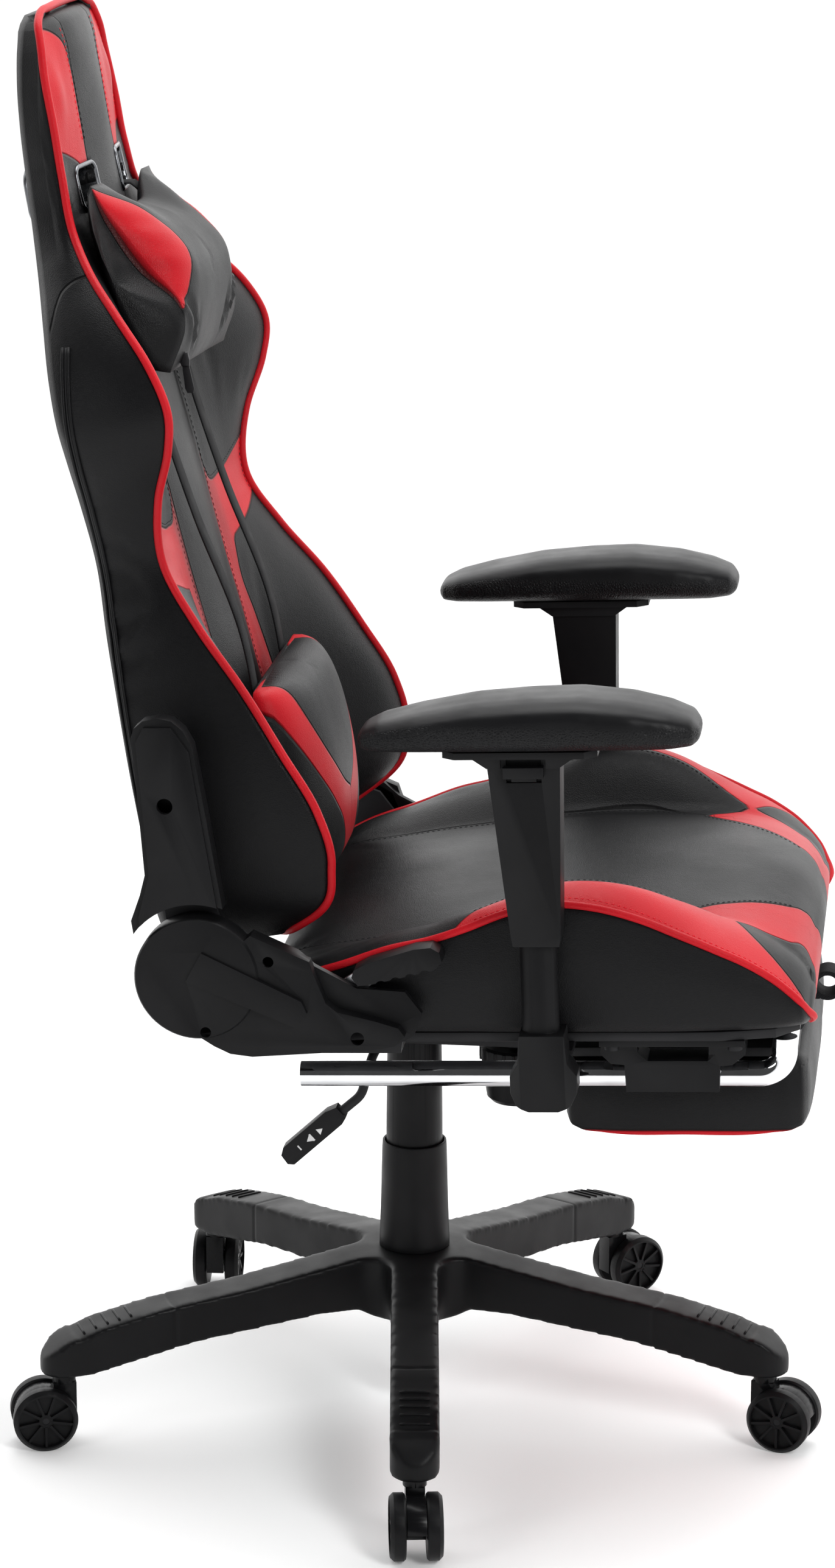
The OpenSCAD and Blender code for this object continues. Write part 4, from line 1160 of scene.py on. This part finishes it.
LUMBAR_Y = (
    [(-1, 74)]
    + chain([(0, 74), (22, 84), (48, 104), (72, 130), (88, 160), (94, 196)], step=4)
    + [(134, 196)]
    + chain([(122, 178), (112, 146), (94, 112), (66, 78), (42, 52), (31, 30), (26, 6)], step=4)
    + [(-1, 6)]
)


def make_lumbar():
    half_w, low, high, rear, front = 126.0, 12.0, 190.0, 47.5, 101.0
    count, rows = 61, 45
    u, v = np.linspace(-1, 1, count), np.linspace(-1, 1, rows)
    rings = []
    for t in v:
        angle = t * pi / 2 * 0.995
        size = max(cos(angle), 0.0) ** 0.42
        h = (low + high) / 2 + (high - low) / 2 * sin(angle)
        width = half_w * (0.84 + 0.16 * size)
        ring = []
        for swell, line in ((front - rear - 5, u), (-5, u[-2:0:-1])):
            for a in line:
                bend = np.sqrt(max(0.0, 1 - abs(a) ** 3.2)) ** 0.9
                ring.append((width * a, rear + 5 + swell * size * bend, h))
        rings.append(ring)
    vertices, faces = loft(rings)
    piece = closed("lumbar_cover", BACK.place(vertices), faces, "zoned_leather")
    ring = len(rings[0])
    index = np.arange(len(vertices))
    front_side = (index < rows * ring) & (index % ring < count)
    flat = np.column_stack([np.abs(vertices[:, 0]), vertices[:, 2]])
    zone = np.full(len(vertices), -9.0)
    zone[front_side] = signed_distance(LUMBAR_Y, flat[front_side])
    on_rim = np.isin(index % ring, (0, count - 1)) & (index < rows * ring)
    seam = np.where(on_rim, 0.0, 40.0)
    pinned = np.where(front_side, np.clip(0.9 - np.abs(zone) / 8, 0, 0.85), 0.4)
    pinned[seam == 0] = 1.0
    puff(piece, pinned, np.full(len(pinned), 5.0 * MM), pressure=3.0)
    paint(piece, zone=zone, seam=seam)
    return piece


lumbar = make_lumbar()
finished(lumbar, "lumbar", "black_leather", "lumbar_pillow")


# ---------- straps ----------

STRAP_X, STRAP_HALF = 75.0, 12.0
# Across the strap and through its thickness
STRAP_SECTION = (
    (-12, 0), (-11.4, 0.8), (0, 0.8), (11.4, 0.8), (12, 0), (11.4, -0.8), (0, -0.8), (-11.4, -0.8)
)
STRAP_LINE = smooth_line(
    [(-10, 608), (-3, 600), (-2, 575), (0, 540), (3, 488), (9, 436), (24, 340), (45, 238), (46, 120)], 5
)


def make_strap(side):
    """A strap from a slot down behind the lumbar pillow, lying on the leather."""
    line = [(-60.5, 609.5), (-40, 609.5), (-20, 609.3)] + [tuple(p) for p in STRAP_LINE]
    levels = []
    for d, h in line:
        depth = d
        if d > -12:
            places = [(side * (STRAP_X + a), h) for a in (-STRAP_HALF, 0, STRAP_HALF)]
            depth = max([d] + [BACK.read(hit[0])[1] + 1.6 for hit in back_drop(places)])
        levels.append((depth, h))
    levels = np.array(levels)
    run = np.gradient(levels, axis=0)
    run /= np.linalg.norm(run, axis=1)[:, None]
    face = np.column_stack([-run[:, 1], run[:, 0]])
    rings = []
    for (d, h), (fd, fh) in zip(levels, face):
        rings.append([(side * (STRAP_X + a), d + fd * t, h + fh * t) for a, t in STRAP_SECTION])
    return closed("strap", *loft(BACK.place(rings)), "webbing")


def make_band(d, h, size):
    """The band between the slots at the rear, with its three sizes and a slight sag."""
    half_w, half_t, half_h = (0.5 * length for length in size)
    section = [(a, b) for b in (-1, 1) for a in np.array((-1, -0.5, 0.5, 1)) * -b]
    grid = []
    for t in np.linspace(-1, 1, 7):
        sag = 1.5 * (1 - t * t)
        grid.append([(a * half_w, d - sag + b * half_t, h + t * half_h) for a, b in section])
    return closed("band", *loft(BACK.place(grid)), "webbing")


strap_pieces = [make_strap(-1), make_strap(1), make_band(-61.8, 624, (112, 1.8, 20))]
straps = join("straps", strap_pieces)
finished(straps, "back", "webbing", "pillow_straps")


# ---------- footrest pad ----------

# Along the pad: forward, half width, lower and upper height
PAD_STATIONS = [
    (146, 164, 352, 405), (149, 172, 347, 409), (156, 177, 343, 411.4), (175, 180, 340, 411.8),
    (245, 181, 338, 411.8), (318, 180, 340, 411.8), (337, 177, 343, 411.4), (344, 172, 347, 409),
    (347, 164, 352, 405),
]
PAD_COLUMNS, PAD_SIDES = 57, 12
# Heights where the red underside ends and where the upper seam runs
PAD_SPLIT, PAD_SEAM = 351, 404


def pad_ring(f):
    half, low, high = spline(PAD_STATIONS, np.array([f]))[0]
    u = np.linspace(-1, 1, PAD_COLUMNS)
    drop_off = np.clip((np.abs(u) - 0.93) / 0.07, 0, 1) ** 2
    top = [(half * a * (1 if abs(a) < 0.93 else 0.995), f, high - 5 * b) for a, b in zip(u, drop_off)]
    share = np.linspace(0, 1, PAD_SIDES + 2)[1:-1]
    side = [(half + 3.0 * sin(pi * s), f, high - 5 + (low + 9 - high + 5) * s) for s in share]
    bottom = [(half * a, f, low + 9 * abs(a) ** 6 - 9 * (1 - a * a)) for a in u[::-1]]
    return top + side + bottom + mirrored(side)


def make_footrest_pad():
    rear, front = PAD_STATIONS[0][0], PAD_STATIONS[-1][0]
    rows = rear + (front - rear) * (0.5 - 0.5 * np.cos(pi * np.linspace(0, 1, 49)))
    vertices, faces = box_loft([pad_ring(f) for f in rows], PAD_COLUMNS, PAD_SIDES, (-4, 4))
    piece = closed("footrest_cover", SEAT.place(vertices), faces, "zoned_leather")
    x, z = vertices[:, 0], vertices[:, 2]
    zone = PAD_SPLIT - z
    seam = np.where(z > PAD_SPLIT, np.abs(z - PAD_SEAM) + 0.2, 50.0)
    pinned = np.where(z > PAD_SEAM - 2, 1.0, np.clip(1.0 - np.abs(zone) / 8, 0.0, 1))
    puff(piece, pinned, np.full(len(pinned), 3.0 * MM), pressure=3.0)
    low, high = PAD_SPLIT + 1, PAD_SEAM - 2
    dent = np.where((z > low) & (z < high), 1.0, 0.0) * np.sin(x / 17 + 0.6 * np.sin(z / 9))
    dent *= 0.5 * np.sin(pi * np.clip((z - low) / (high - low), 0, 1))
    emboss(piece, dent)
    paint(piece, zone=zone, seam=seam)
    return piece


pad = make_footrest_pad()
finished(pad, "footrest_flip", "black_leather", "footrest_pad")


# ---------- seams, zips and the pillow's slider ----------


def side_drop(side, points):
    """Places on one side of the back at (depth, height) points."""
    start = [(side * 300, d, h) for d, h in points]
    return drop(back_tree, BACK.place(start), (-side, 0, 0), reach=0.28)


def lifted(hits, amount):
    return [hit[0] + hit[1] * amount * MM for hit in hits]


ZIP_LINE = smooth_line([(-27, 512), (-30, 470), (-33, 400), (-34, 300), (-33, 170), (-33, 60)], 5)
zip_parts = []
for side in (-1, 1):
    for gap in (-2.6, 2.6):
        hits = side_drop(side, offset(ZIP_LINE, gap))
        zip_parts.append(tube("zip_fold", lifted(hits, 0.3), 1.5 * MM, "black_leather", 8))
    hits = side_drop(side, ZIP_LINE)
    zip_parts.append(tube("zip_teeth", lifted(hits, -0.4), 1.3 * MM, "black_paint", 6))
finished(join("back_zips", zip_parts), "back", "black_leather")

back_lines, back_red = [], []
panel_rows = np.arange(40, 590, 4.5)
panel_x = spline(PANEL_STATIONS, panel_rows)[:, 0]
head_rows = np.arange(660, 756, 4.5)
for side in (-1, 1):
    back_lines.append(back_drop([(side * (a + 4), h) for a, h in zip(panel_x, panel_rows)]))
    for shift, lines in ((-3.5, back_lines), (3.5, back_red)):
        lines.append(back_drop([(side * (58.5 + shift), h) for h in head_rows]))
    upper = [(side * a, h + 3.5) for a, h in even(WAIST_PATCH[8:-2], 4.5) if a > 82 and h > 325]
    back_lines.append(back_drop(upper))
    brim_rows = np.arange(668, 750, 4.5)
    brim = spline(BACK_STATIONS, brim_rows)[:, 0] - 8
    back_red.append(back_drop([(side * a, h) for a, h in zip(brim, brim_rows)]))
    side_rows = np.arange(30, 655, 4.5)
    brim = spline(BACK_STATIONS, side_rows)[:, 0] - 7
    back_lines.append(back_drop([(side * a, h) for a, h in zip(brim, side_rows)]))
finished(stitches("back_stitches_black", back_lines, "thread"), "back", "black_leather")
finished(stitches("back_stitches_red", back_red, "red_thread"), "back", "red_leather")


def plate(name, outline, place, across, up, thick, finish):
    """A small plate of an outline in the plane of two directions, with softened rims."""
    across, up = Vector(across).normalized(), Vector(up).normalized()
    out = across.cross(up)
    outline = np.asarray(outline, float)
    middle = outline.mean(0)
    rings = []
    for level, size in ((-0.5, 0.86), (-0.36, 1.0), (0.36, 1.0), (0.5, 0.86)):
        ring = middle + (outline - middle) * size
        rings.append([
            Vector(place) + (across * a + up * b) * MM + out * (thick * level * MM) for a, b in ring
        ])
    piece = closed(name, *loft(rings), finish)
    piece.data.set_sharp_from_angle(angle=radians(50))
    return piece


zip_side = BACK.place([(-92, 41, 470)])[0]
tab = [(-2.6, 0), (2.6, 0), (3.2, -9), (3.8, -22), (2.6, -26), (-2.6, -26), (-3.8, -22), (-3.2, -9)]
slider_place = zip_side + np.array((-0.002, 0, 0.002))
slider = [(-3.6, 6), (3.6, 6), (4.2, 0), (3.2, -5), (-3.2, -5), (-4.2, 0)]
pull_parts = [
    plate("pull_tab", tab, zip_side, (0, -1, 0), tuple(BACK.up), 1.6, "black_paint"),
    plate("pull_slider", slider, slider_place, (0, -1, 0), tuple(BACK.up), 4, "black_paint"),
]
finished(join("pillow_zip_pull", pull_parts), "headrest", "black_paint")


# ---------- hard parts that keep their CAD shape ----------

EDGES = {
    "column_cover_lower": ("black_plastic", 0.8), "column_cover_upper": ("black_plastic", 0.5),
    "mech_housing": ("black_paint", 1.0), "tension_knob": ("black_plastic", 0.7),
    "lock_sleeve": ("black_plastic", 0.6), "lever_paddle": ("black_plastic", 1.2),
    "seat_plate": ("black_paint", 0.5), "seat_pan": ("black_paint", 0.8),
    "arm_post_right": ("black_plastic", 1.2), "arm_post_left": ("black_plastic", 1.2),
    "arm_sleeve_right": ("black_plastic", 1.2), "arm_sleeve_left": ("black_plastic", 1.2),
    "arm_button_right": ("black_plastic", 0.5), "arm_button_left": ("black_plastic", 0.5),
    "recliner_covers": ("black_plastic", 2.0), "recline_lever": ("steel", 0.4),
    "recline_grip": ("black_plastic", 1.6), "back_covers": ("black_plastic", 1.8),
    "footrest_guides": ("black_plastic", 0.8), "footrest_board": ("black_paint", 0.6),
    "pull_loop": ("webbing", 0.4),
}
EDGES.update({f"caster_{k}_wheels": ("black_plastic", 0.5) for k in range(1, 6)})
EDGES.update({f"caster_{k}_hood": ("hood_plastic", 0.8) for k in range(1, 6)})
for node, (finish, width) in EDGES.items():
    rounded(node, finish, width * MM)

SHOWN = (
    "stand_tube", "piston_rod", "pressure_tube", "mech_pivot_pin", "tension_spring", "seat_bolts",
    "recliner_lower_plates", "recliner_upper_plates", "recliner_pins", "back_frame", "footrest_rails",
) + tuple(f"caster_{k}_pins" for k in range(1, 6))
for node in SHOWN:
    mesh = frame["nodes"][node].data
    mesh.materials.clear()
    mesh.materials.append(FINISH["black_paint" if node == "seat_bolts" else slot_of[node]])
    mesh.shade_smooth()
    mesh.set_sharp_from_angle(angle=radians(35))


# ---------- base ----------


def melted(name, nodes, voxel, rounds, finish):
    """Several CAD nodes as one skin with rounded edges."""
    bm = bmesh.new()
    for node in nodes:
        bm.from_mesh(frame["nodes"][node].data)
    mesh = bpy.data.meshes.new(name)
    bm.to_mesh(mesh)
    bm.free()
    made = linked(name, mesh, FINISH[finish])
    remesh = made.modifiers.new("skin", "REMESH")
    remesh.mode, remesh.voxel_size = "VOXEL", voxel * MM
    smooth = made.modifiers.new("soft", "SMOOTH")
    smooth.factor, smooth.iterations = 0.5, rounds
    apply_modifiers(made)
    made.data.shade_smooth()
    return made


base = melted("base_skin", ["base_star", "toe_caps"], 2.4, 7, "black_plastic")
co = coordinates(base)
reach = np.hypot(co[:, 0], co[:, 1]) / MM
inward = -0.9 * np.exp(-(((reach - 225) / 1.3) ** 2))
knuckle = 1.8 * ease((reach - 309) / 5) * ease((340 - reach) / 14)
above = np.clip(normals(base)[:, 2], 0, 1)
emboss(base, inward + knuckle * above)
finished(base, "base", "black_plastic", "base_star", "toe_caps")
base_tree = surface(base)

LEG_TURN, LEG_STEP = radians(-82.9), radians(72)
RIB_RADII, RIB_HALF = (262, 272.5, 283, 293.5, 304), 12.0
ribs = []
for k in range(5):
    turn = LEG_TURN + k * LEG_STEP
    out = np.array((sin(turn), -cos(turn), 0))
    across = np.array((cos(turn), sin(turn), 0))
    for radius in RIB_RADII:
        line = [out * radius + across * a for a in np.linspace(-RIB_HALF, RIB_HALF, 7)]
        start = [p * MM + np.array((0, 0, 0.2)) for p in line]
        hits = drop(base_tree, start, (0, 0, -1))
        path = lifted(hits, 0.2)
        sunk = [path[i] - hits[i][1] * 1.5 * MM for i in (0, -1)]
        ribs.append(tube("rib", sunk[:1] + path + sunk[1:], 1.1 * MM, "black_plastic", 8))
finished(join("toe_ribs", ribs), "base", "black_plastic")


# ---------- armrests ----------

for side in ("right", "left"):
    node = "arm_pad_" + side
    skin = melted(node + "_skin", [node], 2.6, 5, "pad_skin")
    low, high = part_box(node)
    co = coordinates(skin)
    share = (co[:, 2] - low.z) / (high.z - low.z)
    up = normals(skin)[:, 2]
    paint(skin, grain=np.clip(1 - ease((share - 0.45) / 0.2) - ease((up - 0.5) / 0.3), 0, 1))
    finished(skin, "arm_" + side, "pad_skin", node)


# ---------- gas lever ----------

# The rod's middle line, in millimetres
ROD_LINE = [
    (-40, 7, 370), (-70, 7, 370), (-96, 7, 371), (-114, 7, 379), (-130, 7, 386), (-160, 7, 388.5),
    (-182, 7.5, 389), (-191, 11, 383), (-192, 17, 362), (-192, 21.5, 348.5), (-192, 31, 339),
    (-192, 44, 328),
]
rod = tube("lever_rod_smooth", smooth_line(np.array(ROD_LINE) * MM, 3 * MM), 4 * MM, "black_paint", 20)
finished(rod, "gas_lever", "black_paint", "lever_rod")

# Raised marks on the paddle: a bar with a triangle above and below it
knee, tip = np.array((-192, 20, 350.0)), np.array((-192, 46, 326.0))
along = (tip - knee) / np.linalg.norm(tip - knee)
above = np.cross((1, 0, 0), along)
above = above if above[2] > 0 else -above
MARKS = (
    ([(-3, 0), (3, 0), (0, 5)], 14), ([(-3.5, 0), (3.5, 0), (3.5, 1.6), (-3.5, 1.6)], 22),
    ([(-3, 5), (3, 5), (0, 0)], 27), ([(-2.4, 0), (2.4, 0), (2.4, 1.2), (-2.4, 1.2)], 36),
)
PADDLE_FACE = np.array((7.1, 0, 0))
marks = []
for outline, run in MARKS:
    place = (tip + along * run - PADDLE_FACE) * MM
    marks.append(plate("mark", outline, place, tuple(above), tuple(-along), 0.5, "print"))
finished(join("lever_marks", marks), "gas_lever", "black_plastic")


# ---------- stage, light and camera ----------

floor_mesh = bpy.data.meshes.new("floor")
floor_mesh.from_pydata([(-30, -30, 0), (30, -30, 0), (30, 30, 0), (-30, 30, 0)], [], [(0, 1, 2, 3)])
pale = Finish("floor_pale", roughness=0.9, Emission_Strength=0.13)
pale.set("Emission Color", (1, 1, 1, 1))
pale.set("Base Color", pale.mix(pale.noise(3.0), (0.9, 0.9, 0.9), (0.92, 0.92, 0.92)))
floor = linked("floor", floor_mesh, pale.material)
bpy.context.scene.view_settings.view_transform = "Standard"
world = bpy.data.worlds.new("studio")
bpy.context.scene.world = world
world.use_nodes = True
# A bright wall behind the chair and a dim room in front of it, as in a studio
WALL_LIGHT, ROOM_LIGHT = 2.05, 0.06
room = world.node_tree
direction = room.nodes.new("ShaderNodeTexCoord").outputs["Generated"]
split = room.nodes.new("ShaderNodeSeparateXYZ")
room.links.new(direction, split.inputs[0])
fade = room.nodes.new("ShaderNodeMapRange")
fade.interpolation_type = "SMOOTHSTEP"
fade.inputs["From Min"].default_value, fade.inputs["From Max"].default_value = -0.25, 0.45
fade.inputs["To Min"].default_value, fade.inputs["To Max"].default_value = ROOM_LIGHT, WALL_LIGHT
room.links.new(split.outputs["X"], fade.inputs["Value"])
room.links.new(fade.outputs[0], room.nodes["Background"].inputs["Strength"])
room.nodes["Background"].inputs["Color"].default_value = (1, 1, 1, 1)


def softbox(name, place, aim, size, power):
    lamp = bpy.data.lights.new(name, "AREA")
    lamp.shape, lamp.size, lamp.size_y, lamp.energy = "RECTANGLE", size[0], size[1], power
    box = linked(name, lamp)
    box.location = place
    box.rotation_euler = (Vector(aim) - Vector(place)).to_track_quat("-Z", "Y").to_euler()


softbox("key", (-2.4, -1.9, 2.3), (0, 0, 0.6), (0.8, 1.5), 62)
softbox("fill", (-2.4, 2.2, 1.7), (0, 0, 0.7), (0.5, 1.8), 16)
softbox("top", (0.2, -0.1, 3.0), (0, 0, 0.5), (1.6, 1.6), 42)

CAMERA_PLACE = (-3.628, -0.450, 1.528)
CAMERA_LOOK = (0.9924, 0.1231)
CAMERA_DOWN = 0.25

camera_data = bpy.data.cameras.new("camera")
camera_data.lens = 100.75
camera_data.shift_x, camera_data.shift_y = 0.0019, -0.0202
camera = linked("camera", camera_data)
camera.location = CAMERA_PLACE
look = Vector((CAMERA_LOOK[0] * cos(CAMERA_DOWN), CAMERA_LOOK[1] * cos(CAMERA_DOWN), -sin(CAMERA_DOWN)))
camera.rotation_euler = look.to_track_quat("-Z", "Y").to_euler()
bpy.context.scene.camera = camera
